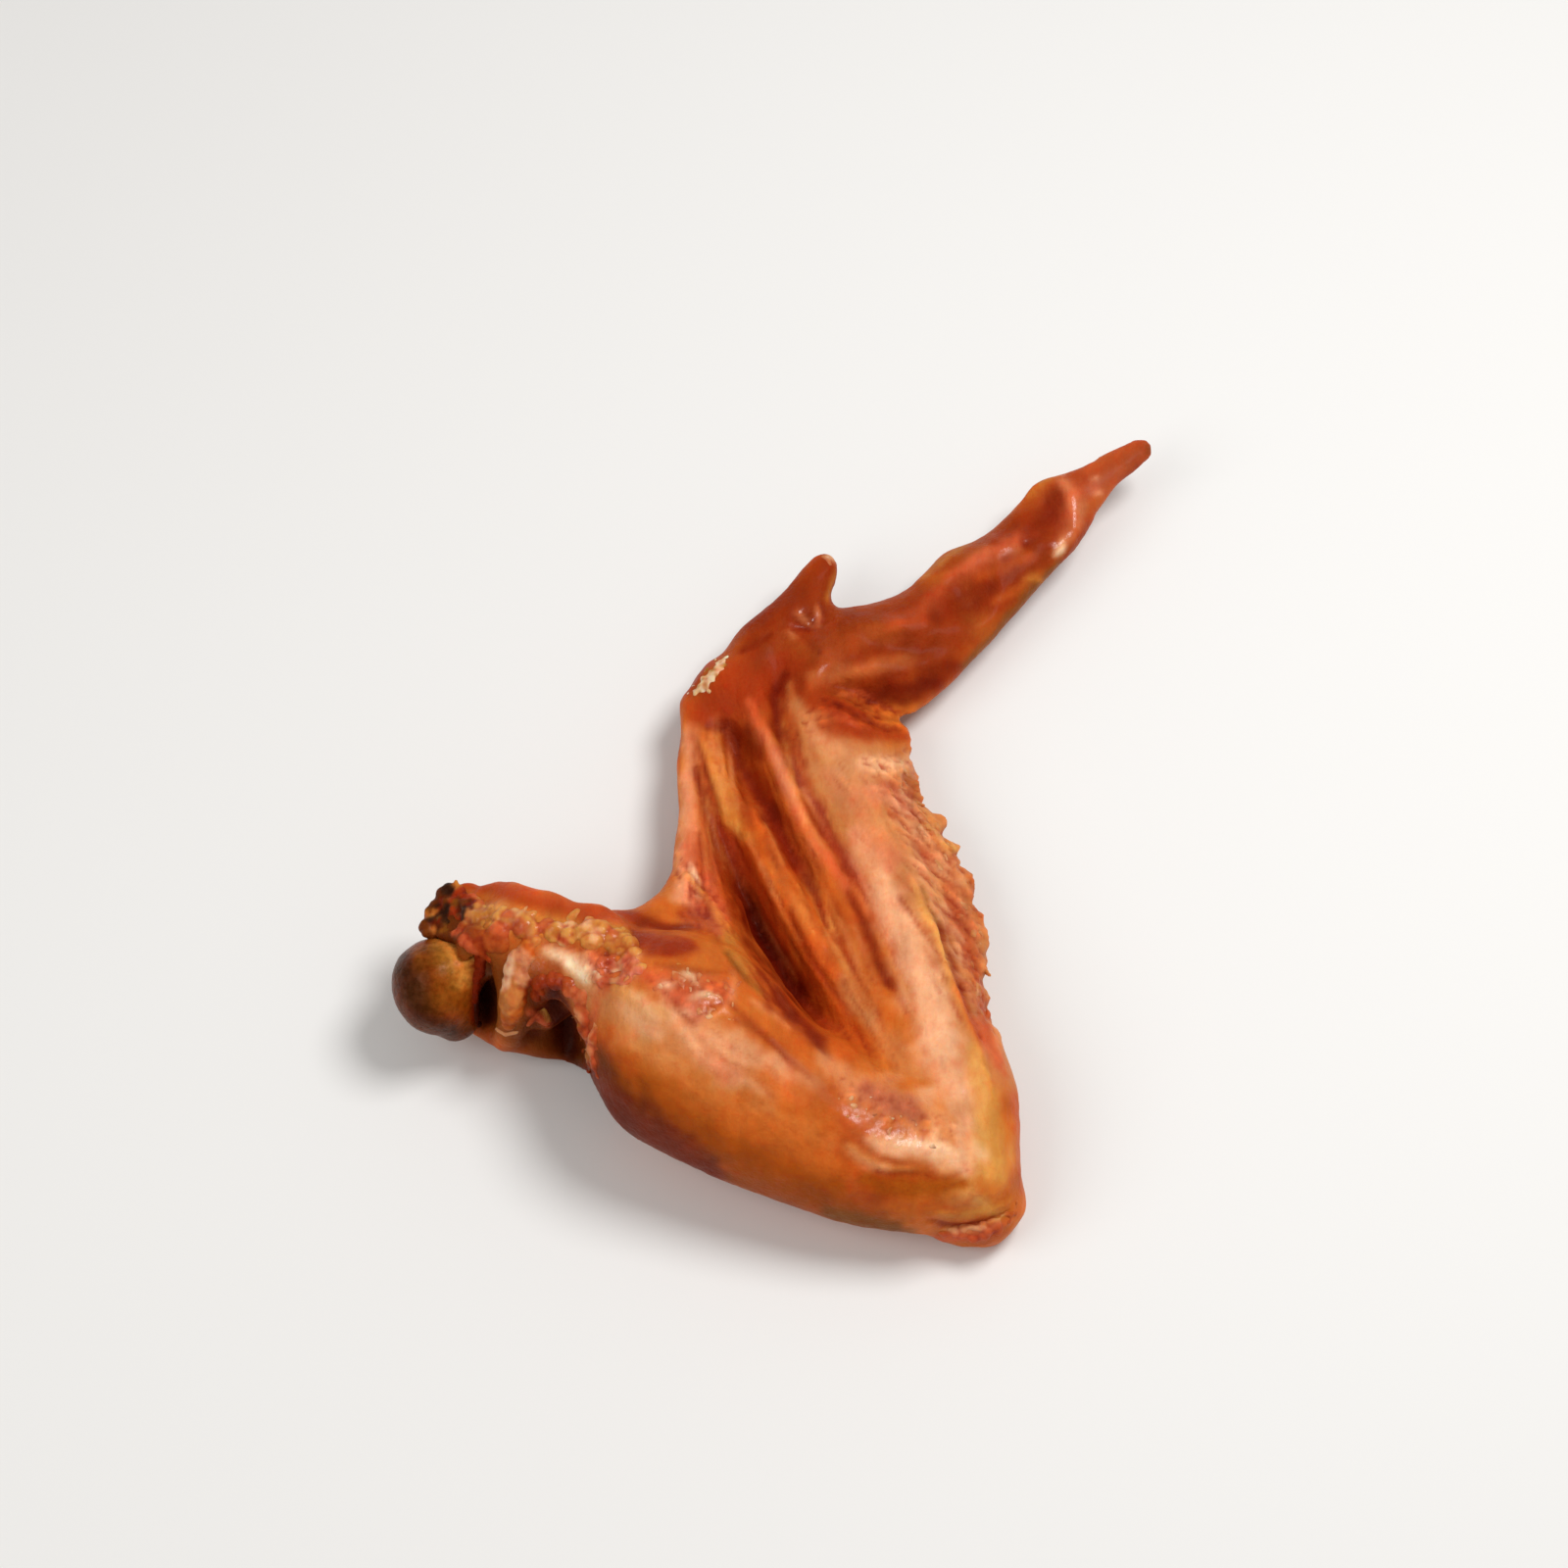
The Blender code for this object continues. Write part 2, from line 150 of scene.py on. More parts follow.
# Colour, strength, and the line that it follows: places in pixels, each with the stroke's
# reach there. These run right through the wing, so that both of its sides have them.
WASHES = (
    ("copper", 1.0, ((560, 1010, 70), (640, 1090, 90), (760, 1150, 80), (880, 1200, 60))),
    ("apricot", 1.0, ((840, 770, 60), (920, 850, 90), (970, 960, 80), (1000, 1080, 70))),
    ("amber", 0.9, ((960, 1120, 80), (990, 1200, 80))),
    ("burnt orange", 0.9, ((740, 820, 50), (770, 920, 70), (820, 1000, 80), (860, 1060, 60))),
    ("rust", 0.9, ((715, 700, 50), (780, 680, 60), (860, 720, 50))),
    ("mahogany", 1.0, ((800, 650, 70), (870, 665, 80), (950, 640, 80), (1085, 530, 60))),
    ("mahogany", 1.0, ((790, 640, 50), (825, 605, 45), (850, 572, 40))),
    ("rosewood", 0.9, ((1090, 515, 45), (1170, 450, 50))),
    ("umber", 0.8, ((440, 910, 40), (500, 1010, 60), (560, 1050, 60), (620, 1110, 40))),
)

# Colour, strength, height in millimetres, and the line as above. These are on the side
# that lies up; some of them are painted highlights and painted shade, as noted where they stand.
STROKES = (
    # The upper arm's rounded muscle and the skin over it, from the broad shades to the marks.
    ("burnt orange", 0.9, 0, ((620, 1050, 30), (680, 1100, 50), (760, 1150, 60), (850, 1195, 40))),
    ("amber", 0.9, 0, ((590, 1010, 40), (660, 1050, 50), (740, 1100, 60), (830, 1150, 40))),
    # Painted light: the apricot, blush and shell from here make the muscle's top paler where light
    # falls on it.
    ("apricot", 0.9, 0, ((596, 1010, 30), (645, 1035, 42), (710, 1066, 44), (780, 1100, 40))),
    ("honey", 0.5, 0, ((640, 1060, 26), (700, 1110, 30), (770, 1150, 32), (840, 1175, 28))),
    ("blush", 0.7, 0, ((676, 1010, 16), (704, 1044, 30), (742, 1084, 28), (775, 1104, 18))),
    ("shell", 0.35, 0, ((672, 1022, 8), (700, 1058, 14), (736, 1090, 12))),
    ("blush", 0.6, 0, ((735, 1060, 24), (770, 1085, 34), (820, 1110, 30))),
    # Painted shade: the russet, umber, charcoal and oxblood darken the lower side, the charcoal a
    # painted shadow line along its lower edge.
    ("russet", 0.85, 0, ((630, 1095, 20), (690, 1140, 34), (770, 1180, 34), (850, 1210, 26))),
    ("umber", 0.95, 0, ((590, 1076, 26), (625, 1125, 40), (665, 1170, 42), (720, 1204, 36))),
    ("charcoal", 0.5, 0, ((586, 1088, 14), (606, 1126, 22), (640, 1166, 24), (690, 1200, 18))),
    ("umber", 0.8, 0, ((720, 1200, 32), (790, 1222, 26), (850, 1240, 24), (910, 1256, 18))),
    ("burnt orange", 0.5, 0, ((740, 1140, 20), (790, 1165, 26), (850, 1182, 24))),
    ("amber", 0.6, 0, ((690, 1108, 16), (730, 1134, 22), (790, 1160, 24), (850, 1188, 20))),
    ("russet", 0.5, 0, ((632, 1074, 10), (660, 1092, 16), (690, 1112, 12))),
    ("oxblood", 0.6, 0, ((600, 1095, 18), (640, 1142, 32), (700, 1180, 28), (730, 1200, 18))),
    ("russet", 0.7, 0, ((764, 1204, 38), (800, 1218, 32), (840, 1234, 28), (900, 1250, 18))),
    ("shell", 0.45, 0, ((636, 1026, 12), (652, 1042, 18), (672, 1056, 12))),
    ("amber", 0.6, 0, ((768, 1094, 12), (800, 1112, 22), (834, 1122, 16))),
    ("burnt orange", 0.4, 0, ((780, 1098, 12), (804, 1112, 18), (830, 1120, 12))),
    ("coral", 0.3, 0, ((722, 1078, 12), (745, 1094, 18))),
    ("rust", 0.9, 0.2, ((655, 958, 12), (676, 964, 22), (700, 968, 16))),
    ("oxblood", 0.35, 0, ((640, 955, 12), (670, 964, 22), (700, 970, 12))),
    # Painted shadow: the dark line under the upper edge.
    ("oxblood", 0.7, -0.25, ((640, 930, 5), (655, 940, 9), (683, 946, 8), (712, 946, 5))),
    ("coral", 0.75, 0.3, ((660, 996, 16), (695, 1008, 24), (738, 1010, 20))),
    ("pink", 0.7, 0.2, ((680, 1010, 8), (700, 1020, 14), (712, 1036, 12))),
    ("rosewood", 0.5, 0, ((680, 1004, 10), (700, 1014, 20), (722, 1018, 16))),
    ("oxblood", 0.3, -0.1, ((668, 984, 4), (700, 990, 5), (748, 993, 3))),
    ("blush", 0.5, 0.1, ((748, 992, 3), (748, 1008, 4), (741, 1028, 5), (724, 1042, 3))),
    ("oxblood", 0.3, -0.1, ((741, 1000, 3), (737, 1022, 5), (722, 1034, 4), (706, 1040, 3))),
    # Painted glints: the cream specks on the crinkled patch.
    ("cream", 0.8, 0.3, ((676, 1002, 4), (684, 1005, 5), (692, 1003, 3))),
    ("cream", 0.8, 0.3, ((697, 993, 3), (706, 997, 5), (712, 1004, 3))),
    ("cream", 0.7, 0.3, ((704, 1018, 3), (718, 1014, 5), (732, 1017, 4))),
    ("cream", 0.7, 0.3, ((694, 1030, 4), (702, 1034, 4))),
    ("oxblood", 0.6, -0.2, ((688, 1022, 3), (698, 1040, 4), (706, 1046, 3))),
    ("honey", 0.8, 0.2, ((630, 1010, 10), (650, 1020, 14), (676, 1034, 10))),
    ("shell", 0.5, 0.1, ((646, 1014, 6), (660, 1026, 10), (672, 1040, 6))),
    ("coral", 0.7, 0.2, ((608, 985, 8), (626, 985, 12), (648, 992, 8))),
    ("blush", 0.7, 0.4, ((600, 972, 5), (612, 980, 6), (614, 996, 6), (606, 1010, 4))),
    ("blush", 0.7, 0.4, ((640, 962, 4), (650, 976, 6), (648, 992, 6), (638, 1006, 4))),
    ("oxblood", 0.6, -0.4, ((618, 972, 3), (624, 986, 5), (620, 1006, 4))),
    ("gold", 0.9, 0.6, ((600, 946, 8), (620, 944, 11), (636, 952, 10), (644, 966, 6))),
    ("oxblood", 0.45, -0.2, ((749, 1039, 3), (782, 1059, 5), (807, 1081, 4), (830, 1104, 2))),
    ("oxblood", 0.45, -0.2, ((737, 1016, 2), (765, 1042, 4), (790, 1066, 4), (812, 1092, 2))),
    ("copper", 0.4, -0.15, ((700, 1050, 2), (730, 1075, 4), (760, 1092, 3))),
    ("blush", 0.5, 0.2, ((765, 1020, 4), (788, 1034, 6), (806, 1050, 4))),
    ("gold", 0.8, 0.4, ((722, 918, 5), (732, 940, 9), (750, 975, 9), (776, 1013, 5))),
    ("olive", 0.6, -0.3, ((742, 972, 3), (761, 999, 5), (785, 1020, 3))),
    ("rust", 0.6, 0, ((690, 905, 8), (706, 930, 16), (716, 948, 12))),
    ("rust", 0.6, -0.3, ((694, 932, 6), (706, 936, 10), (722, 934, 7))),
    ("pink", 0.6, 0.1, ((690, 900, 8), (706, 916, 16), (722, 930, 14), (734, 948, 8))),
    ("blush", 0.6, 0.3, ((690, 918, 4), (702, 922, 6), (716, 918, 4))),
    # The web's left edge, salmon where light comes through, with fine folds along it.
    ("blush", 0.85, 0, ((706, 740, 8), (702, 800, 16), (700, 870, 18), (694, 915, 12))),
    ("pink", 0.35, 0, ((712, 750, 14), (715, 850, 26), (718, 930, 26))),
    ("pink", 0.4, 0, ((700, 860, 10), (712, 905, 20), (722, 940, 14))),
    ("rosewood", 0.55, 0, ((702, 850, 8), (706, 880, 14), (716, 918, 18), (728, 948, 14))),
    # Painted highlight on the fold.
    ("cream", 0.7, 0.2, ((704, 880, 4), (712, 900, 6), (712, 915, 4))),
    ("coral", 0.7, 0, ((724, 880, 6), (730, 915, 16), (738, 945, 12))),
    ("rosewood", 0.5, 0, ((712, 906, 6), (716, 920, 9), (722, 934, 6))),
    ("rust", 0.6, -0.3, ((714, 800, 2), (722, 840, 4), (734, 885, 4), (744, 920, 3))),
    ("honey", 0.7, 0.3, ((716, 800, 2), (726, 838, 4), (740, 880, 5), (750, 915, 3))),
    ("rust", 0.5, -0.3, ((712, 850, 3), (716, 890, 5), (718, 925, 3))),
    ("honey", 0.6, 0.3, ((708, 800, 3), (714, 840, 4), (724, 885, 3))),
    ("rust", 0.6, -0.25, ((716, 765, 3), (728, 815, 4), (743, 868, 5), (760, 908, 3))),
    ("copper", 0.6, -0.2, ((706, 740, 4), (710, 800, 4), (718, 860, 4), (732, 905, 3))),
    ("straw", 0.5, 0.2, ((712, 770, 2), (722, 820, 3), (738, 872, 4), (752, 906, 3))),
    # The wrist end of the web.
    ("rust", 0.95, 0, ((712, 730, 14), (740, 722, 36), (775, 700, 40), (800, 680, 26))),
    ("oxblood", 0.8, -0.3, ((722, 742, 7), (742, 740, 16), (760, 752, 16), (772, 770, 12))),
    ("mahogany", 0.45, -0.4, ((738, 742, 12), (757, 774, 20), (772, 800, 22), (786, 830, 18))),
    ("mahogany", 0.85, -0.4, ((786, 830, 18), (800, 862, 14), (822, 895, 12), (845, 945, 6))),
    ("oxblood", 0.45, -0.2, ((740, 745, 6), (757, 774, 10), (772, 800, 11), (786, 830, 9))),
    ("oxblood", 0.6, -0.2, ((786, 830, 9), (800, 862, 7), (822, 895, 6), (845, 945, 3))),
    ("rust", 0.6, 0, ((770, 800, 14), (792, 850, 16), (815, 890, 12))),
    ("gold", 0.8, 0.5, ((716, 755, 4), (728, 790, 8), (744, 838, 10), (763, 857, 12))),
    ("honey", 0.6, 0.2, ((722, 775, 3), (732, 806, 5), (742, 830, 4))),
    ("copper", 0.6, 0.3, ((755, 789, 5), (768, 819, 9), (780, 845, 5))),
    ("rust", 0.6, -0.2, ((752, 814, 5), (760, 830, 7), (768, 842, 5))),
    ("coral", 0.85, 0.5, ((764, 716, 7), (781, 752, 12), (800, 792, 12), (816, 828, 11))),
    ("mauve", 0.8, 0, ((780, 750, 8), (800, 790, 12), (814, 824, 10))),
    ("coral", 0.8, 0.5, ((816, 828, 11), (836, 866, 11), (862, 900, 10), (882, 932, 8))),
    ("copper", 0.8, 0.4, ((870, 912, 8), (890, 955, 10), (905, 985, 9), (920, 1012, 5))),
    ("blush", 0.6, 0.3, ((776, 742, 4), (792, 772, 6), (808, 806, 6), (822, 838, 4))),
    ("oxblood", 0.8, -0.4, ((802, 690, 8), (792, 712, 13), (793, 738, 13), (800, 760, 9))),
    ("mahogany", 0.8, -0.4, ((798, 748, 11), (808, 775, 11), (818, 798, 8))),
    ("honey", 0.6, 0.4, ((806, 700, 6), (812, 722, 9), (818, 748, 9), (822, 770, 6))),
    ("mauve", 0.8, -0.3, ((808, 772, 4), (822, 806, 7), (838, 828, 6))),
    ("pink", 0.85, -0.2, ((832, 818, 5), (848, 857, 8), (866, 880, 9), (884, 906, 6))),
    ("coral", 0.8, 0, ((880, 895, 8), (896, 930, 10), (914, 970, 10), (931, 1028, 6))),
    ("mahogany", 0.7, -0.3, ((866, 910, 6), (880, 940, 10), (895, 978, 13), (908, 1004, 11))),
    ("oxblood", 0.6, -0.2, ((870, 920, 3), (884, 948, 5), (896, 980, 6), (908, 1004, 4))),
    ("mahogany", 0.5, -0.3, ((908, 1004, 10), (918, 1018, 7), (926, 1034, 4))),
    # The deep crease and the two orange folds beside it.
    ("rust", 0.9, 0, ((740, 850, 12), (755, 885, 22), (775, 930, 26), (792, 965, 20))),
    # Painted shade over the skin's own darker red: the mahogany, oxblood and dark cherry down the
    # crease.
    ("mahogany", 0.8, -0.4, ((712, 785, 5), (724, 828, 8), (737, 872, 11), (753, 915, 14))),
    ("oxblood", 0.7, -0.2, ((712, 785, 2), (724, 828, 4), (737, 872, 5), (753, 915, 7))),
    ("mahogany", 0.9, -0.3, ((748, 900, 14), (770, 945, 26), (788, 982, 32), (806, 1016, 32))),
    ("mahogany", 0.9, -0.3, ((806, 1016, 32), (822, 1040, 24), (836, 1062, 14), (846, 1078, 6))),
    ("oxblood", 0.85, -0.2, ((750, 905, 8), (770, 945, 16), (786, 982, 20), (802, 1016, 19))),
    ("oxblood", 0.85, -0.2, ((802, 1016, 19), (818, 1040, 14), (832, 1060, 8), (842, 1074, 3))),
    ("dark cherry", 0.7, 0, ((760, 930, 5), (778, 962, 9), (794, 998, 10), (812, 1032, 6))),
    ("mauve", 0.4, 0, ((794, 1000, 5), (799, 1018, 7), (806, 1030, 4))),
    ("burnt orange", 1.0, 0.3, ((760, 862, 8), (785, 890, 18), (812, 925, 26), (848, 985, 28))),
    ("burnt orange", 0.9, 0, ((848, 985, 28), (875, 1030, 26), (895, 1070, 20))),
    ("amber", 0.9, 0.4, ((778, 878, 6), (800, 905, 12), (826, 945, 15), (855, 995, 12))),
    ("amber", 0.7, 0.2, ((855, 995, 12), (880, 1035, 14), (900, 1075, 10))),
    ("honey", 0.5, 0.1, ((800, 905, 4), (820, 935, 7), (840, 968, 4))),
    ("rust", 0.7, -0.3, ((806, 930, 3), (822, 968, 6), (845, 1005, 6), (872, 1036, 3))),
    ("copper", 0.5, -0.2, ((838, 930, 3), (860, 972, 5), (885, 1015, 5), (905, 1045, 2))),
    ("apricot", 0.6, 0.2, ((842, 950, 3), (866, 992, 6), (892, 1030, 5))),
    ("apricot", 0.6, 0, ((890, 1040, 12), (915, 1070, 24), (935, 1095, 20))),
    ("apricot", 0.8, 0, ((858, 1000, 8), (872, 1022, 14), (892, 1048, 10))),
    ("honey", 0.4, 0, ((862, 1008, 6), (872, 1022, 10), (884, 1038, 6))),
    ("gold", 0.6, 0.3, ((700, 890, 3), (730, 930, 6), (748, 958, 6), (770, 990, 3))),
    # The pale ridge over the forearm bones and the tendon beside it.
    # The ridge's pale blush is partly a painted highlight, and the shell along its crest is one.
    ("blush", 0.8, 0, ((876, 850, 16), (898, 905, 28), (918, 950, 34), (938, 1005, 36))),
    ("blush", 0.85, 0, ((938, 1005, 36), (955, 1050, 42), (972, 1105, 42), (990, 1155, 30))),
    ("shell", 0.4, 0.2, ((898, 895, 14), (922, 945, 24), (942, 1000, 28), (960, 1060, 28))),
    ("shell", 0.4, 0, ((960, 1060, 28), (974, 1105, 28), (988, 1145, 20))),
    ("mauve", 0.6, -0.2, ((918, 915, 5), (922, 924, 6), (928, 930, 3))),
    ("straw", 0.8, 0.4, ((930, 898, 3), (942, 925, 5), (958, 962, 6), (972, 1004, 6))),
    ("gold", 0.9, 0.4, ((972, 1004, 6), (984, 1031, 6), (1003, 1080, 6), (1012, 1120, 3))),
    ("olive", 0.6, -0.3, ((940, 905, 2), (956, 940, 4), (972, 985, 5), (990, 1032, 3))),
    ("straw", 0.85, 0, ((992, 1070, 10), (1004, 1120, 20), (1008, 1170, 24), (1006, 1224, 20))),
    ("gold", 0.6, 0, ((1012, 1110, 6), (1018, 1160, 12), (1018, 1210, 10))),
    ("shell", 0.3, 0, ((950, 1120, 20), (970, 1170, 34), (992, 1220, 26))),
    ("straw", 0.5, 0, ((915, 1204, 14), (965, 1212, 22), (1010, 1215, 26), (1030, 1180, 14))),
    # Painted highlight on the ledge above the elbow's front.
    ("shell", 0.45, 0.1, ((908, 1176, 6), (940, 1174, 12), (975, 1176, 12))),
    # The forearm's rear half, rough with torn quill sockets.
    ("honey", 0.7, 0, ((836, 760, 14), (860, 790, 24), (900, 850, 20))),
    ("apricot", 0.7, 0, ((880, 760, 18), (905, 776, 22), (922, 770, 12))),
    # Painted highlight on the flat top by the rear edge.
    ("shell", 0.6, 0.1, ((880, 780, 12), (903, 781, 20), (922, 780, 14))),
    ("pink", 0.5, 0, ((885, 805, 12), (910, 812, 18), (932, 830, 12))),
    ("mauve", 0.35, 0, ((900, 800, 8), (920, 815, 12), (936, 835, 8))),
    ("blush", 0.3, 0, ((912, 820, 16), (942, 868, 26), (968, 915, 26), (985, 970, 18))),
    ("pink", 0.35, 0, ((846, 786, 14), (878, 826, 24), (908, 876, 20))),
    ("copper", 0.4, 0, ((965, 900, 10), (985, 950, 12), (1000, 1010, 14), (1006, 1060, 12))),
    ("rosewood", 0.6, 0, ((970, 920, 8), (984, 955, 12), (997, 1000, 15), (1008, 1060, 12))),
    ("coral", 0.7, 0.2, ((996, 1040, 8), (1012, 1068, 14), (1024, 1095, 8))),
    ("rust", 0.6, -0.3, ((958, 945, 3), (972, 984, 6), (986, 1028, 6), (1000, 1060, 3))),
    ("straw", 0.8, 0.2, ((950, 855, 5), (966, 862, 9), (975, 868, 6))),
    ("honey", 0.7, 0.2, ((935, 820, 4), (950, 835, 7), (958, 846, 5))),
    ("honey", 0.6, 0.2, ((975, 885, 4), (985, 905, 7), (992, 925, 4))),
    ("rust", 0.7, -0.2, ((850, 738, 4), (880, 745, 9), (908, 748, 10), (925, 752, 6))),
    ("rust", 0.5, 0, ((828, 730, 14), (850, 744, 20), (884, 750, 12))),
    # The hand.
    ("copper", 0.7, 0.3, ((828, 700, 10), (845, 672, 16), (880, 648, 16), (920, 636, 8))),
    ("copper", 0.6, 0.2, ((842, 698, 8), (880, 682, 12), (920, 670, 8))),
    ("apricot", 0.4, 0, ((826, 692, 8), (870, 684, 14), (930, 672, 10))),
    ("blush", 0.7, 0, ((984, 580, 8), (1008, 566, 13), (1036, 560, 9))),
    ("apricot", 0.8, 0, ((812, 720, 14), (835, 745, 24), (862, 765, 20))),
    ("blush", 0.4, 0, ((826, 742, 12), (852, 768, 24), (880, 796, 20))),
    ("rust", 0.6, 0, ((836, 738, 8), (852, 745, 13), (872, 750, 8))),
    ("rosewood", 0.8, 0.2, ((905, 632, 10), (940, 628, 18), (975, 590, 16), (1035, 555, 14))),
    ("coral", 0.6, 0.2, ((968, 588, 6), (1000, 568, 10), (1035, 552, 10), (1060, 545, 5))),
    ("burnt orange", 0.6, 0, ((1000, 590, 8), (1025, 578, 12), (1052, 568, 8))),
    ("oxblood", 0.45, -0.5, ((955, 628, 14), (985, 612, 30), (1010, 597, 14))),
    ("amber", 0.5, 0, ((1015, 612, 6), (1040, 600, 10), (1062, 588, 8))),
    ("oxblood", 0.65, -0.5, ((1046, 552, 10), (1066, 532, 20), (1080, 504, 14))),
    # Painted highlight: the blush and cream along the finger joint.
    ("blush", 0.42, 0.2, ((1085, 490, 8), (1098, 514, 14), (1097, 538, 14), (1081, 558, 8))),
    ("cream", 0.8, 0.2, ((1076, 567, 3), (1082, 560, 5), (1085, 552, 3))),
    ("coral", 0.7, 0.2, ((1098, 505, 8), (1120, 495, 14), (1142, 480, 10))),
    ("cream", 0.5, 0.2, ((1113, 490, 3), (1120, 488, 4))),
    ("cream", 0.5, 0.2, ((1117, 505, 3), (1124, 503, 4))),
    ("mauve", 0.5, 0, ((1112, 498, 12), (1140, 484, 16), (1168, 462, 12))),
    ("mahogany", 0.3, 0, ((786, 650, 14), (810, 650, 22), (850, 656, 20), (905, 668, 22))),
    ("gold", 0.6, 0, ((930, 592, 4), (960, 574, 6), (996, 546, 5), (1040, 512, 4))),
    ("gold", 0.6, 0, ((1050, 505, 4), (1068, 488, 7), (1090, 478, 4))),
    ("olive", 0.8, 0, ((1080, 575, 7), (1050, 610, 12), (1018, 650, 12), (985, 682, 8))),
    ("gold", 0.6, 0.2, ((1044, 592, 4), (1054, 590, 6), (1064, 594, 4))),
    ("oxblood", 0.6, -0.3, ((878, 706, 12), (912, 705, 22), (945, 695, 24), (970, 680, 14))),
    ("oxblood", 0.5, -0.2, ((905, 706, 6), (935, 700, 12), (958, 692, 6))),
    ("dark cherry", 0.5, 0, ((892, 712, 10), (920, 712, 18), (948, 700, 14))),
    ("oxblood", 0.6, -0.4, ((839, 713, 3), (859, 721, 5), (882, 733, 5), (907, 745, 3))),
    ("coral", 0.6, 0.3, ((858, 708, 3), (876, 706, 5), (890, 712, 3))),
    ("coral", 0.6, 0.3, ((846, 726, 4), (862, 732, 5), (878, 742, 3))),
    ("oxblood", 0.6, -0.4, ((756, 664, 4), (772, 656, 9), (786, 648, 5))),
    ("rust", 0.6, 0, ((808, 640, 8), (818, 646, 12), (830, 650, 8))),
    ("mahogany", 0.6, -0.3, ((822, 650, 4), (829, 659, 7), (836, 666, 4))),
    # Painted highlights on the bumps at the thumb's base.
    ("blush", 0.6, 0.4, ((814, 624, 4), (822, 634, 6), (830, 640, 3))),
    ("blush", 0.6, 0.4, ((832, 618, 3), (836, 630, 5), (834, 640, 3))),
    ("blush", 0.5, 0.3, ((804, 645, 3), (810, 650, 4))),
    ("gold", 0.7, 0, ((857, 578, 4), (850, 596, 5), (844, 612, 4))),
    ("cream", 0.7, 0.1, ((844, 567, 4), (852, 570, 6), (858, 578, 3))),
    ("umber", 0.25, 0, ((1126, 492, 14), (1158, 466, 20), (1180, 446, 14))),
    ("umber", 0.6, 0, ((1174, 446, 5), (1176, 456, 6), (1170, 464, 4))),
    ("brass", 0.5, 0, ((740, 671, 5), (731, 683, 8), (721, 695, 8), (711, 706, 5))),
    # The elbow.
    ("blush", 0.6, 0, ((840, 1080, 16), (880, 1110, 30), (930, 1130, 36))),
    ("mauve", 0.6, 0, ((885, 1108, 14), (910, 1125, 28), (935, 1135, 18))),
    ("coral", 0.6, 0, ((872, 1140, 8), (888, 1150, 14), (905, 1152, 8))),
    # Painted highlight: the pale blush and cream on the elbow's top.
    ("blush", 0.8, 0.2, ((888, 1160, 8), (915, 1170, 18), (950, 1172, 20), (980, 1176, 12))),
    ("cream", 0.4, 0.1, ((905, 1166, 5), (935, 1170, 10), (970, 1172, 8))),
    ("honey", 0.8, 0.3, ((865, 1168, 4), (880, 1180, 8), (900, 1190, 7), (930, 1193, 4))),
    # Painted shade: the russet and rust on the elbow's front face.
    ("russet", 0.9, -0.2, ((880, 1205, 10), (915, 1208, 20), (950, 1210, 20), (980, 1208, 10))),
    ("rust", 0.4, -0.25, ((895, 1196, 5), (935, 1199, 7), (965, 1201, 6), (987, 1195, 4))),
    # Painted highlight at the corner.
    ("shell", 0.6, 0.1, ((974, 1189, 4), (981, 1193, 6), (984, 1201, 4))),
    # Painted shade along the lower edge.
    ("olive", 0.8, 0, ((845, 1236, 10), (880, 1248, 13), (930, 1260, 10))),
    ("amber", 0.8, 0, ((1000, 1210, 14), (1020, 1225, 20), (1036, 1215, 12))),
    ("coral", 0.8, 0.4, ((955, 1264, 6), (980, 1260, 10), (1010, 1258, 9), (1030, 1246, 5))),
    # Painted highlight on the lip.
    ("shell", 0.5, 0.1, ((964, 1255, 3), (982, 1253, 5), (1005, 1253, 3))),
    ("oxblood", 0.7, -0.4, ((950, 1246, 2), (968, 1249, 4), (998, 1248, 4), (1030, 1236, 2))),
    ("gold", 0.7, 0.3, ((955, 1238, 4), (985, 1240, 7), (1015, 1232, 6), (1034, 1222, 3))),
    ("coral", 0.6, 0, ((1036, 1120, 7), (1043, 1160, 10), (1046, 1210, 8))),
    # Painted highlight: the shell band on the elbow's top, and the shell dabs below.
    ("shell", 0.3, 0, ((880, 1135, 14), (920, 1162, 30), (950, 1170, 30))),
    ("shell", 0.6, 0, ((950, 1170, 20), (966, 1180, 26), (990, 1180, 24))),
    ("mauve", 0.35, 0, ((872, 1110, 12), (904, 1128, 22), (936, 1140, 16))),
    ("copper", 0.45, 0, ((876, 1132, 12), (900, 1148, 16), (925, 1154, 10))),
    ("shell", 0.7, 0.1, ((882, 1162, 5), (900, 1175, 8), (918, 1180, 6))),
    ("blush", 0.5, 0, ((868, 1176, 6), (884, 1188, 9), (904, 1192, 8))),
    ("apricot", 0.5, 0, ((946, 1138, 10), (966, 1140, 14), (984, 1132, 14))),
    ("straw", 0.5, 0, ((1004, 1232, 6), (1018, 1240, 9), (1028, 1236, 6))),
    # The cut shoulder.
    ("umber", 0.9, 0, ((428, 935, 12), (450, 930, 24), (480, 945, 18))),
    ("rust", 0.8, 0, ((465, 898, 10), (520, 910, 16), (590, 930, 14), (650, 934, 8))),
    ("coral", 0.45, 0, ((500, 900, 6), (545, 912, 9), (600, 930, 10), (640, 942, 6))),
    ("gold", 0.9, 0.3, ((478, 935, 8), (515, 934, 16), (560, 945, 16), (602, 952, 14))),
    ("honey", 0.8, 0.3, ((488, 926, 5), (510, 926, 9), (528, 934, 6))),
    ("honey", 0.6, 0.3, ((496, 946, 4), (506, 944, 7), (520, 950, 4))),
    # Painted highlight on the shoulder's crest.
    ("shell", 0.9, 0.3, ((556, 970, 8), (578, 980, 16), (602, 988, 12))),
    ("cream", 0.9, 0.2, ((562, 974, 6), (580, 984, 11), (598, 1000, 9))),
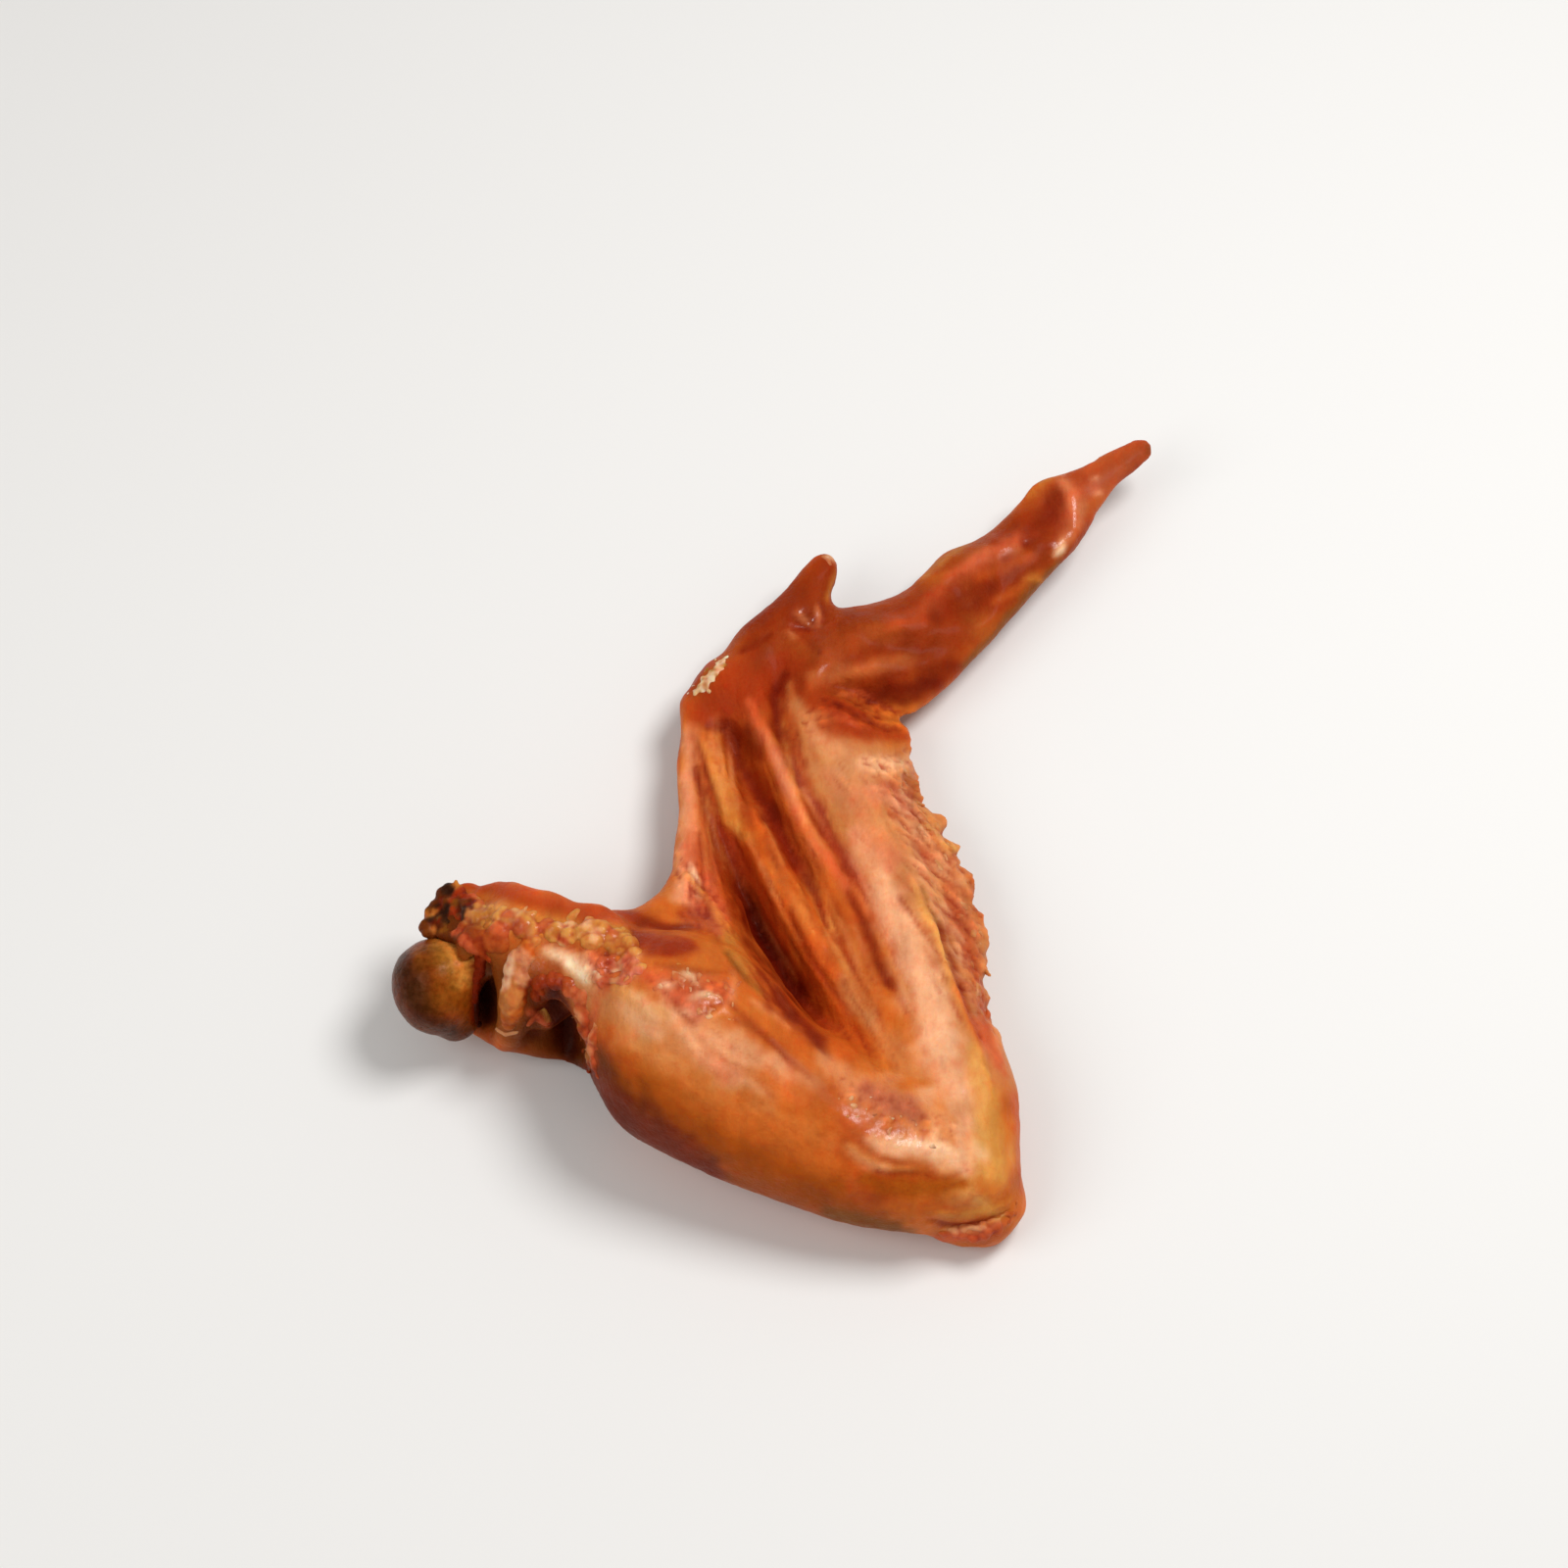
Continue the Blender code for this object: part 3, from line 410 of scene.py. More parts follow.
    ("coral", 0.8, 0.3, ((604, 975, 8), (616, 990, 13), (618, 1008, 9))),
    ("amber", 0.9, 0.2, ((545, 965, 8), (532, 985, 14), (524, 1010, 14), (524, 1040, 10))),
    # Painted highlight on the sinew.
    ("cream", 0.8, 0.2, ((523, 984, 3), (520, 996, 5), (517, 1008, 3))),
    # Painted shade: the maroon in the two hollows.
    ("maroon", 0.95, -0.3, ((498, 985, 6), (494, 1010, 13), (497, 1040, 9))),
    ("maroon", 0.95, -0.3, ((562, 1006, 8), (572, 1035, 18), (582, 1070, 14))),
    ("rust", 0.9, 0.3, ((545, 1008, 4), (556, 1002, 7), (570, 1004, 4))),
    ("coral", 0.9, 0.4, ((540, 1032, 6), (550, 1038, 10), (558, 1046, 6))),
    ("rosewood", 0.9, 0.5, ((597, 1036, 6), (600, 1058, 8), (606, 1084, 6))),
    ("coral", 0.7, 0, ((608, 1020, 6), (606, 1040, 8))),
)

# Threads of skin that run down the web from the wrist, between its left and right line.
WEB_LEFT = ((706, 735), (712, 810), (730, 880), (756, 940), (800, 1010))
WEB_RIGHT = ((815, 690), (835, 790), (880, 870), (925, 960), (960, 1050))
THREAD_COLOURS = ("mahogany", "rust", "rust", "honey", "blush", "copper", "straw")
THREADS = 56
THREAD_CORNERS = 4
THREAD_STRENGTH = 0.5
THREAD_HEIGHT = 0.15
THREAD_DEPTH = 0.2
THREAD_WIDTHS = (2.5, 4.5)
THREAD_TIP = 1.5

# Where a thread starts, how far on its next corner is and how far that strays to the side,
# counted in corners of the two lines and in shares of the way between them.
THREAD_STARTS = (0, 3)
THREAD_STEP = 0.34
THREAD_STRAY = 0.02
LAST_ALONG = 3.99


def place_along(line, along):
    """The place on the line that is this many corners from its start."""
    corner = int(along)
    return Vector(line[corner]).lerp(Vector(line[corner + 1]), along - corner)


thread_chance = random.Random(3)
for _ in range(THREADS):
    share = thread_chance.random()
    start = thread_chance.uniform(*THREAD_STARTS)
    thread = []
    for step in range(THREAD_CORNERS):
        along = min(start + step * THREAD_STEP, LAST_ALONG)
        stray = thread_chance.uniform(-THREAD_STRAY, THREAD_STRAY)
        place = place_along(WEB_LEFT, along).lerp(place_along(WEB_RIGHT, along), share + stray)
        inner = 0 < step < THREAD_CORNERS - 1
        wide = thread_chance.uniform(*THREAD_WIDTHS) if inner else THREAD_TIP
        thread.append((*place, wide))
    colour = thread_chance.choice(THREAD_COLOURS)
    height = -THREAD_DEPTH if colour in ("mahogany", "rust") else THREAD_HEIGHT
    STROKES += ((colour, THREAD_STRENGTH, height, tuple(thread)),)

# Short strands of torn skin that run out to the forearm's rear edge, between these lines.
STRANDS_FROM = ((880, 790), (905, 840), (930, 890), (955, 950), (980, 1020))
STRANDS_TO = ((926, 768), (952, 836), (985, 890), (1006, 970), (1012, 1040))
STRAND_COLOURS = ("shell", "blush", "honey", "blush", "coral", "rust", "copper")
STRANDS = 80
STRAND_STRENGTH = 0.6
STRAND_HEIGHT = 0.25
STRAND_LENGTHS = (12, 30)
STRAND_WIDTHS = (2, 4)
STRAND_TAPER = 0.5

# The strands' turn in degrees at the upper end, its growth from corner to corner of the
# lines, and its spread.
STRAND_TURN = 34
STRAND_FAN = 9
STRAND_SPREAD = 9

for _ in range(STRANDS):
    along = thread_chance.uniform(0, LAST_ALONG)
    inner = place_along(STRANDS_FROM, along)
    outer = place_along(STRANDS_TO, along)
    root = inner.lerp(outer, thread_chance.uniform(0.1, 0.9))
    turn = STRAND_TURN + STRAND_FAN * along + thread_chance.gauss(0, STRAND_SPREAD)
    turn = math.radians(turn)
    length = thread_chance.uniform(*STRAND_LENGTHS)
    tip = root + length * Vector((math.cos(turn), math.sin(turn)))
    colour = thread_chance.choice(STRAND_COLOURS)
    height = -STRAND_HEIGHT if colour in ("rust", "copper") else STRAND_HEIGHT
    wide = thread_chance.uniform(*STRAND_WIDTHS)
    ends = ((*root, wide), (*tip, STRAND_TAPER * wide))
    STROKES += ((colour, STRAND_STRENGTH, height, ends),)

# Height in millimetres, the grain's turn in degrees, its length and its width in pixels,
# and the line of the place that has it, with its reach, as above.
GRAINS = (
    (0.22, 55, 46, 7, ((870, 790, 40), (920, 870, 60), (975, 970, 56), (1010, 1070, 30))),
    (0.35, 40, 34, 6, ((900, 790, 24), (935, 840, 34), (965, 900, 38), (992, 1000, 34))),
    (0.22, 62, 90, 6, ((730, 790, 30), (790, 900, 60), (850, 1010, 60), (900, 1080, 30))),
    (0.35, 20, 10, 7, ((670, 1002, 16), (705, 1014, 30), (735, 1015, 20), (712, 1040, 14))),
    (0.30, 0, 9, 7, ((610, 985, 20), (640, 985, 20))),
    (0.30, 0, 9, 8, ((860, 1110, 20), (905, 1135, 34), (960, 1160, 30))),
    (0.10, -35, 50, 12, ((800, 650, 40), (880, 660, 60), (960, 620, 50), (1060, 550, 40))),
    (0.45, 20, 12, 6, ((830, 735, 16), (870, 718, 26), (915, 735, 20))),
    (0.25, 84, 60, 5, ((710, 750, 24), (708, 850, 30), (712, 930, 26))),
    (0.15, 40, 40, 6, ((640, 1010, 30), (720, 1080, 50), (800, 1130, 50), (870, 1170, 40))),
    (0.35, 10, 9, 6, ((884, 780, 12), (904, 782, 20), (922, 781, 12))),
    (0.12, 75, 60, 7, ((930, 950, 30), (955, 1040, 36), (985, 1140, 36))),
    (0.40, 60, 14, 6, ((694, 880, 20), (712, 915, 34), (735, 950, 20))),
    (0.40, 20, 18, 9, ((450, 915, 24), (500, 935, 30), (560, 950, 26), (620, 985, 24))),
    (0.20, -10, 30, 5, ((960, 1255, 16), (1000, 1252, 20), (1032, 1235, 14))),
)

# The finer grain that lies in each: its share, how many times finer it is, and its seeds.
FINE_GRAIN = 0.6
FINER = 2.3
FINE_GRAIN_SEED = 20

# Lines of the places where melted fat stands on the skin and shines, with their reach.
WET_PLACES = (
    ((866, 1138, 16), (900, 1166, 26), (945, 1174, 26), (982, 1188, 20)),
    ((668, 1000, 20), (700, 1012, 32), (738, 1016, 24)),
    ((884, 780, 20), (905, 784, 28), (926, 785, 20)),
    ((945, 1040, 16), (962, 1090, 22), (980, 1150, 20)),
    ((1085, 490, 12), (1095, 515, 16), (1082, 556, 12)),
    ((720, 905, 20), (712, 930, 24), (700, 945, 20)),
    ((540, 990, 20), (590, 985, 36), (640, 985, 30)),
    ((480, 930, 16), (540, 940, 20), (620, 950, 18)),
    ((812, 625, 12), (835, 640, 16), (850, 680, 20)),
    ((990, 570, 14), (1040, 545, 16)),
)

# Places in pixels where the edge is drawn out or pushed in: the place, its reach, and the
# way there, right and down, in pixels.
PULLS = (
    (833, 577, 52, 9, -12),
    (849, 600, 30, 3, 2),
    (1062, 505, 60, -3, -8),
    (950, 588, 40, -3, -5),
    (1104, 540, 70, 7, 4),
    (1160, 470, 60, 6, 3),
    (702, 715, 42, -7, -2),
    (728, 684, 30, -4, -4),
    (697, 775, 55, -5, 0),
    (528, 938, 30, 0, -7),
    (540, 930, 70, 0, -25),
    (600, 938, 60, 0, -14),
    (444, 932, 34, -7, 5),
    (1048, 1165, 70, -5, 0),
    (1036, 1262, 36, -4, -3),
    (470, 905, 24, 0, 4),
    (918, 738, 28, 12, -3),
)

# The bites out of the torn rear edge and the teeth between them, written the same way.
BITES = (
    (946, 812, 24, -10, 0),
    (956, 826, 20, -6, 2),
    (975, 850, 18, -11, 2),
    (979, 862, 11, 6, -2),
    (985, 884, 14, -7, 0),
    (996, 923, 14, -4, 0),
    (1012, 1003, 16, -7, 0),
    (1018, 1030, 28, -9, 0),
)

# The line of the forearm's rear edge, in pixels, how far from it the torn skin reaches, how
# far the edge grows there and frays, the way that it grows, right and down, the rounds of
# evening that thin it first, and the share of the finer fraying.
RAGGED_EDGE = (
    (926, 768), (928, 800), (952, 836), (972, 866), (992, 912), (1008, 975), (1016, 1040),
)
RAGGED_REACH = 34
EDGE_GROWTH = 5
EDGE_FRAYING = 4
OFF_THE_EDGE = Vector((0.9, -0.43))
RAGGED_EVENING = 40
FINE_FRAYING = 0.7

# How far each next seed shifts the noise, along the three axes, and the seed of the noise
# that waves the strokes' places, so that each run gives the same wing.
SEED_STEPS = (7.3, 3.1, 5.7)
NOISE_SEED = 1
noise.seed_set(NOISE_SEED)

toward_camera = -np.array(camera_ahead)

# The size at the wing of one pixel of the photograph.
to_metres = CAMERA_PLACE.length / FOCAL_PIXELS


def merged_node(node):
    """A bmesh of this CAD node, with its loose triangles joined."""
    start = bmesh.new()
    start.from_mesh(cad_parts[node].data)
    bmesh.ops.remove_doubles(start, verts=start.verts, dist=MERGE_DISTANCE)
    return start


def mesh_from(start, name):
    """The bmesh as a mesh of this name. The bmesh itself is let go."""
    mesh = bpy.data.meshes.new(name)
    start.to_mesh(mesh)
    start.free()
    return mesh


def remesh(thing, grid):
    """Makes the object's mesh again as one closed skin with faces of this size."""
    cells = thing.modifiers.new("cells", "REMESH")
    cells.mode = "VOXEL"
    cells.voxel_size = grid
    bpy.context.view_layer.update()
    graph = bpy.context.evaluated_depsgraph_get()
    thing.data = bpy.data.meshes.new_from_object(thing.evaluated_get(graph))
    thing.modifiers.clear()


def points_of(mesh):
    """The mesh's points, in metres, as rows of an array."""
    flat = np.empty(len(mesh.vertices) * 3, np.float32)
    mesh.vertices.foreach_get("co", flat)
    return flat.reshape(-1, 3).astype(float)


def place_points(mesh, points):
    """Puts the mesh's points where the rows of this array say."""
    mesh.vertices.foreach_set("co", points.astype(np.float32).ravel())
    mesh.update()


def outward_of(mesh):
    """The way that the surface faces at each point."""
    flat = np.empty(len(mesh.vertices) * 3, np.float32)
    mesh.vertex_normals.foreach_get("vector", flat)
    return flat.reshape(-1, 3).astype(float)


def edges_of(mesh):
    """The numbers of the two points of each edge, as rows of an array."""
    flat = np.empty(len(mesh.edges) * 2, np.int32)
    mesh.edges.foreach_get("vertices", flat)
    return flat.reshape(-1, 2)


def evened(values, edges, rounds, shares=(EVENING_SHARE,)):
    """The values, each moved towards the mean of its neighbours' by each share in turn."""
    ends = np.concatenate([edges[:, 0], edges[:, 1]])
    others = np.concatenate([edges[:, 1], edges[:, 0]])
    count = np.maximum(np.bincount(ends, minlength=len(values)), 1)
    for _ in range(rounds):
        for share in shares:
            total = [
                np.bincount(ends, weights=column[others], minlength=len(values))
                for column in values.T
            ]
            values = values + share * (np.stack(total, axis=1) / count[:, None] - values)
    return values


def eased(share):
    """0 to 1 with soft ends, from a share that may lie outside them."""
    share = np.clip(share, 0, 1)
    return share * share * (3 - 2 * share)


def facing_of(mesh, start=-0.05, end=0.3):
    """1 where the surface faces the camera, softly down to 0 where it has turned away."""
    return eased((outward_of(mesh) @ toward_camera - start) / (end - start))


def stands_over(points, mean, outward):
    """How many millimetres each point stands out over the mean of those around it."""
    return ((points - mean) * outward).sum(axis=1) / MILLIMETRE


def photo_pixels(points):
    """Where each point, in metres, shows in the photograph, in its pixels."""
    away = points - np.array(CAMERA_PLACE)
    depth = away @ np.array(camera_ahead)
    across = away @ np.array(camera_right) / depth
    down = -(away @ np.array(camera_up)) / depth
    return PHOTO_SIDE / 2 + FOCAL_PIXELS * np.stack([across, down], axis=1)


def way_in_photo(right, down):
    """The way, in the wing's own space, that leads this far right and down in the photo."""
    return right * np.array(camera_right) - down * np.array(camera_up)


def closeness(pixels, line):
    """1 on the line, falling to 0 where the line's own reach at the nearest place ends."""
    corners = np.array(line, float)
    widest = corners[:, 2].max()
    low = corners[:, :2].min(axis=0) - widest
    high = corners[:, :2].max(axis=0) + widest
    inside = np.nonzero(np.all((pixels > low) & (pixels < high), axis=1))[0]
    near = pixels[inside]
    nearest = np.full(len(near), 1e9)
    for start, end in zip(corners, corners[1:]):
        along = end[:2] - start[:2]
        share = np.clip((near - start[:2]) @ along / (along @ along), 0, 1)
        off = near - start[:2] - share[:, None] * along
        reach = start[2] + share * (end[2] - start[2])
        nearest = np.minimum(nearest, np.hypot(off[:, 0], off[:, 1]) / reach)
    close = np.zeros(len(pixels))
    close[inside] = np.clip(1 - nearest, 0, 1)
    return close


def cover(pixels, line, fullness=FULLNESS):
    """How much of a soft stroke lies at each place: 1 along its line, 0 past its reach."""
    return eased(fullness * closeness(pixels, line))


def noise_at(points, size, seed):
    """Smooth noise from about -1 to 1, with lumps of this size in millimetres."""
    size = size * MILLIMETRE
    shift = Vector([seed * step for step in SEED_STEPS])
    return np.array([noise.noise(Vector(p) / size + shift) for p in points])


def waved(pixels, points, amount, size, seed):
    """Pixel places moved by up to this amount, in waves of this size in millimetres, so that
    no edge on the skin is a plain curve."""
    size = size * MILLIMETRE
    shift = Vector((seed, seed, seed))
    moves = np.array([noise.noise_vector(Vector(p) / size + shift)[:2] for p in points])
    return pixels + amount * moves


def grain_at(pixels, turn, length, width, seed):
    """Noise drawn out along one direction of the photograph."""
    turn = math.radians(turn)
    along = pixels @ np.array((math.cos(turn), math.sin(turn))) / length
    across = pixels @ np.array((-math.sin(turn), math.cos(turn))) / width
    return np.array([noise.noise((a, b, seed)) for a, b in zip(along, across)])


def plain(code):
    """A colour written as a hex code, as three parts from 0 to 1."""
    return np.array([int(code[i : i + 2], 16) for i in (1, 3, 5)]) / 255


def as_linear(shades):
    """The same colours as a shader counts them, by the curve that screens use."""
    return np.where(shades < 0.04045, shades / 12.92, ((shades + 0.055) / 1.055) ** 2.4)


def brushed(shades, colour, share):
    """The shades with a share of one of the named colours over them."""
    return shades + share[:, None] * (plain(COLOURS[colour]) - shades)


def smoke_and_painted_light_shades(points, facing):
    """The wing's colours with painted highlights and shade, for those of these points that face
    the camera.
    """
    seen = photo_pixels(points)
    pixels = waved(seen, points, amount=6, size=9, seed=6)
    pixels = waved(pixels, points, amount=3, size=3, seed=7)
    near_pixels = 0.5 * seen + 0.5 * pixels
    breaks = noise_at(points, 2.5, seed=13) + noise_at(points, 5, seed=14)
    shades = np.tile(plain(COLOURS["amber"]), (len(points), 1))
    for colour, strength, line in WASHES:
        shades = brushed(shades, colour, strength * cover(pixels, line))
    patches = PATCH_CONTRAST * noise_at(points, 11, seed=8)
    shades = brushed(shades, "gold", PATCH_STRENGTH * eased(patches))
    shades = brushed(shades, "oxblood", PATCH_STRENGTH * eased(-patches))
    for colour, strength, height, line in STROKES:
        near = closeness(near_pixels, line)
        paint = PAINT_FULLNESS * near + STROKE_BREAKS * breaks * (near > 0)
        shades = brushed(shades, colour, strength * eased(paint) * facing)
    return shades


def darkened(shades, share):
    """The shades with a share of their light taken away, less of it from the red."""
    return shades * (1 - share[:, None] * SHADE_SHARES)


def give_stain_and_painted_light(mesh, shades, points):
    """Keeps on the mesh the smoke's colours, with painted highlights and shade, and where the fat
    is wet.
    """
    tinted = as_linear(np.clip(shades, DARKEST, 1)) * SMOKE_TINT
    values = np.concatenate([tinted, np.ones((len(shades), 1))], axis=1)
    stain_and_painted_light = mesh.attributes.new("stain_and_painted_light", "FLOAT_COLOR", "POINT")
    stain_and_painted_light.data.foreach_set("color", values.astype(np.float32).ravel())
    pixels = photo_pixels(points)
    wetness = np.max([cover(pixels, line) for line in WET_PLACES], axis=0)
    wet = mesh.attributes.new("wet", "FLOAT", "POINT")
    wet.data.foreach_set("value", wetness.astype(np.float32))


def pulled(points, pixels, pulls):
    """The points after each pull, the whole way at its place and less to where it ends."""
    for x, y, reach, right, down in pulls:
        share = eased(1 - np.hypot(*(pixels - (x, y)).T) / reach)
        points = points + share[:, None] * way_in_photo(right, down) * to_metres
    return points


skin = put_in_scene("wing_skin", mesh_from(merged_node("wing"), "wing_skin"))
remesh(skin, SKIN_GRID)
skin_edges = edges_of(skin.data)
skin_points = points_of(skin.data)
skin_points = evened(skin_points, skin_edges, SKIN_EVENING, (EVENING_SHARE, GIVING_BACK))

skin_pixels = photo_pixels(skin_points)
skin_points = pulled(skin_points, skin_pixels, PULLS)
ragged_line = [(*place, RAGGED_REACH) for place in RAGGED_EDGE]
ragged = cover(skin_pixels, ragged_line)[:, None]
skin_points += ragged * (evened(skin_points, skin_edges, RAGGED_EVENING) - skin_points)
fray = noise_at(skin_points, 3, seed=15)
fray += FINE_FRAYING * noise_at(skin_points, 1.4, seed=16)
growth = to_metres * (EDGE_GROWTH + EDGE_FRAYING * fray)
skin_points += growth[:, None] * ragged * way_in_photo(*OFF_THE_EDGE)
skin_points = pulled(skin_points, photo_pixels(skin_points), BITES)
place_points(skin.data, skin_points)

skin_outward = outward_of(skin.data)
faces_camera = facing_of(skin.data)
fold_pixels = photo_pixels(skin_points)
fold_pixels = waved(fold_pixels, skin_points, amount=2.5, size=7, seed=1)
fold_pixels = waved(fold_pixels, skin_points, amount=0.8, size=2, seed=2)

rise = np.zeros(len(skin_points))
for colour, strength, height, line in STROKES:
    if height:
        rise += height * cover(fold_pixels, line, FOLD_FULLNESS)
rise *= 1 + FOLD_UNEVENNESS * noise_at(skin_points, 7, seed=9)
grain = np.zeros(len(skin_points))
for number, (height, turn, length, width, line) in enumerate(GRAINS):
    share = cover(fold_pixels, line, GRAIN_FULLNESS) * faces_camera
    there = np.nonzero(share > 0.01)[0]
    pixels = fold_pixels[there]
    streaks = grain_at(pixels, turn, length, width, number)
    fine = grain_at(pixels, turn, length / FINER, width / FINER, number + FINE_GRAIN_SEED)
    grain[there] += height * share[there] * (streaks + FINE_GRAIN * fine)
rise = rise * faces_camera + grain

rise += SWELLS * noise_at(skin_points, 6, seed=3)
rise += WRINKLES * (1 - 2 * np.abs(noise_at(skin_points, 4, seed=4)))
rise += PORES * noise_at(skin_points, 1.5, seed=5)
skin_points = skin_points + MILLIMETRE * rise[:, None] * skin_outward
skin_points = evened(skin_points, skin_edges, LAST_EVENING, (EVENING_SHARE, GIVING_BACK))
skin_points[:, 2] = np.maximum(skin_points[:, 2], 0)
place_points(skin.data, skin_points)

# Painted shade and highlight: what lies low among the folds and grains is painted darker,
# and what stands out is painted paler.
skin_outward = outward_of(skin.data)
near_mean = evened(skin_points, skin_edges, NEAR_ROUNDS)
wide_mean = evened(near_mean, skin_edges, WIDE_ROUNDS)
stands_out = stands_over(skin_points, near_mean, skin_outward)
stands_out_wide = stands_over(skin_points, wide_mean, skin_outward)
shades = smoke_and_painted_light_shades(skin_points, faces_camera)
shades = evened(shades, skin_edges, PAINT_EVENING)
shades = darkened(shades, LOW_SHADE * eased(-grain * GRAIN_CONTRAST))
shades = darkened(shades, LOW_SHADE * eased(-stands_out_wide))
shades = darkened(shades, FINE_SHADE * eased(-stands_out * FINE_CONTRAST))
# Painted highlight on what stands out.
lights = HIGH_LIGHT * eased(grain * GRAIN_CONTRAST) + HIGH_LIGHT * eased(stands_out_wide)
shades *= 1 + lights[:, None]
give_stain_and_painted_light(skin.data, shades, skin_points)

# The sockets of a Mix node that are there for colours.
MIX_SHARE = 0
MIX_UNDER = 6
MIX_OVER = 7
MIX_RESULT = 2


def fill(node, inputs):
    """Puts a value or a link on each of the node's sockets that is named here."""
    for name, value in inputs.items():
        if isinstance(value, Dye):
            node.id_data.links.new(value.socket, node.inputs[name])
        else:
            node.inputs[name].default_value = value


class Dye:
    """One socket of a material, so that the maths on it is written as an expression."""

    def __init__(self, socket):
        self.socket = socket

    def add(self, kind, settings, inputs, output=0):
        """A node of this kind in the same material: its settings first, then its sockets."""
        node = self.socket.id_data.nodes.new(kind)
        for name, value in settings.items():
            setattr(node, name, value)
        fill(node, inputs)
        return Dye(node.outputs[output])

    def sums(self, operation, first, second):
        """One step of the maths, such as ADD."""
        return self.add("ShaderNodeMath", {"operation": operation}, {0: first, 1: second})

    def __add__(self, other):
        return self.sums("ADD", self, other)

    __radd__ = __add__

    def __sub__(self, other):
        return self.sums("SUBTRACT", self, other)

    def __rsub__(self, other):
        return self.sums("SUBTRACT", other, self)

    def __mul__(self, other):
        return self.sums("MULTIPLY", self, other)

    __rmul__ = __mul__

    def speckles(self, size, detail, stretch=(1, 1, 1), turn=(0, 0, 0)):
        """Noise at these coordinates, with lumps of this size in metres."""
        settings = {"vector_type": "POINT"}
        inputs = {"Vector": self, "Rotation": turn, "Scale": stretch}
        place = self.add("ShaderNodeMapping", settings, inputs)
        inputs = {"Vector": place, "Scale": 1 / size, "Detail": detail, "Roughness": 0.6}
        return self.add("ShaderNodeTexNoise", {}, inputs)

    def between(self, low, high, to_low=0.0, to_high=1.0):
        """This value, spread from low and high to the new pair and held inside it."""
        inputs = {"Value": self, "From Min": low, "From Max": high}
        inputs |= {"To Min": to_low, "To Max": to_high}
        return self.add("ShaderNodeMapRange", {"clamp": True}, inputs)

    def shaded(self, colour, share):
        """This colour under a thin glaze of another one."""
        settings = {"data_type": "RGBA", "blend_type": "MULTIPLY"}
        inputs = {MIX_SHARE: share, MIX_UNDER: self, MIX_OVER: glaze(colour)}
        return self.add("ShaderNodeMix", settings, inputs, MIX_RESULT)

    def lit(self, amount):
        """This colour, made as many times brighter."""
        return self.add("ShaderNodeVectorMath", {"operation": "SCALE"}, {0: self, "Scale": amount})


def glaze(colour):
    """A colour for a glaze: as strong in hue, and as light as a glaze can be."""
    brightest = max(colour[:3])
    return (*(part / brightest for part in colour[:3]), 1)


def shader_colour(name):
    """One of the named colours, as a socket takes it."""
    return (*as_linear(plain(COLOURS[name])), 1)


def new_material(name):
    """A material with its first socket, the object's own coordinates, and its shader node."""
    material = bpy.data.materials.new(name)
    material.use_nodes = True
    tree = material.node_tree
    place = Dye(tree.nodes.new("ShaderNodeTexCoord").outputs["Object"])
    return material, place, tree.nodes["Principled BSDF"]


def roughened(place, heights, distance):
    """The shading's fine relief, from a height and how many metres it stands for."""
    inputs = {"Height": heights, "Distance": distance, "Strength": 1.0}
    return place.add("ShaderNodeBump", {}, inputs)


def dress(thing, material):
    """Gives the object this one material and smooth shading."""
    thing.data.materials.clear()
    thing.data.materials.append(material)
    thing.data.shade_smooth()


smoked_skin, place, shader = new_material("smoked_skin")
painted = place.add("ShaderNodeAttribute", {"attribute_name": "stain_and_painted_light"}, {})
wetness = place.add("ShaderNodeAttribute", {"attribute_name": "wet"}, {}, "Fac")
mottles = place.speckles(0.004, 6)
flecks = place.speckles(0.0012, 4)
folds = place.speckles(0.009, 5, stretch=(1.7, 0.6, 1), turn=(0, 0, math.radians(-28)))
colour = painted.shaded(shader_colour("coral"), mottles.between(0.5, 0.72, 0, 0.3))
colour = colour.shaded(shader_colour("gold"), mottles.between(0.5, 0.3, 0, 0.28))
colour = colour.shaded(shader_colour("mahogany"), flecks.between(0.6, 0.85, 0, 0.28))
# Painted light and shade: the colour is paler on the fine folds' crests and darker in their
# troughs.
colour = colour.lit(folds.between(0.3, 0.7, 0.88, 1.2))
fill(shader, {
    "Base Color": colour,
    "Roughness": mottles.between(0.3, 0.7, 0.36, 0.52),
    "Coat Weight": wetness * flecks.between(0.4, 0.6, 0.08, 0.5) + 0.02,
    "Specular IOR Level": 0.08,
    "Specular Tint": (1.0, 0.6, 0.4, 1),
    "Coat Tint": (1.0, 0.94, 0.88, 1),
    "Coat Roughness": 0.16,
    "Subsurface Weight": 0.3,
    "Subsurface Radius": (1.0, 0.3, 0.1),
    "Subsurface Scale": 0.004,
    "Normal": roughened(place, 0.7 * mottles + 0.8 * folds + 0.25 * flecks, 0.0009),
})
dress(skin, smoked_skin)
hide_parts("wing")
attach(skin, "root")


# The upper arm's bone: its round end shows at the cut, capped with gristle that the smoke
# turned olive brown and the fat keeps shiny. Its shaft runs on inside the meat, which holds
# it in its place.
BONE_EVENING = 4
BONE_SWELLS = 0.9
BONE_PORES = 0.2
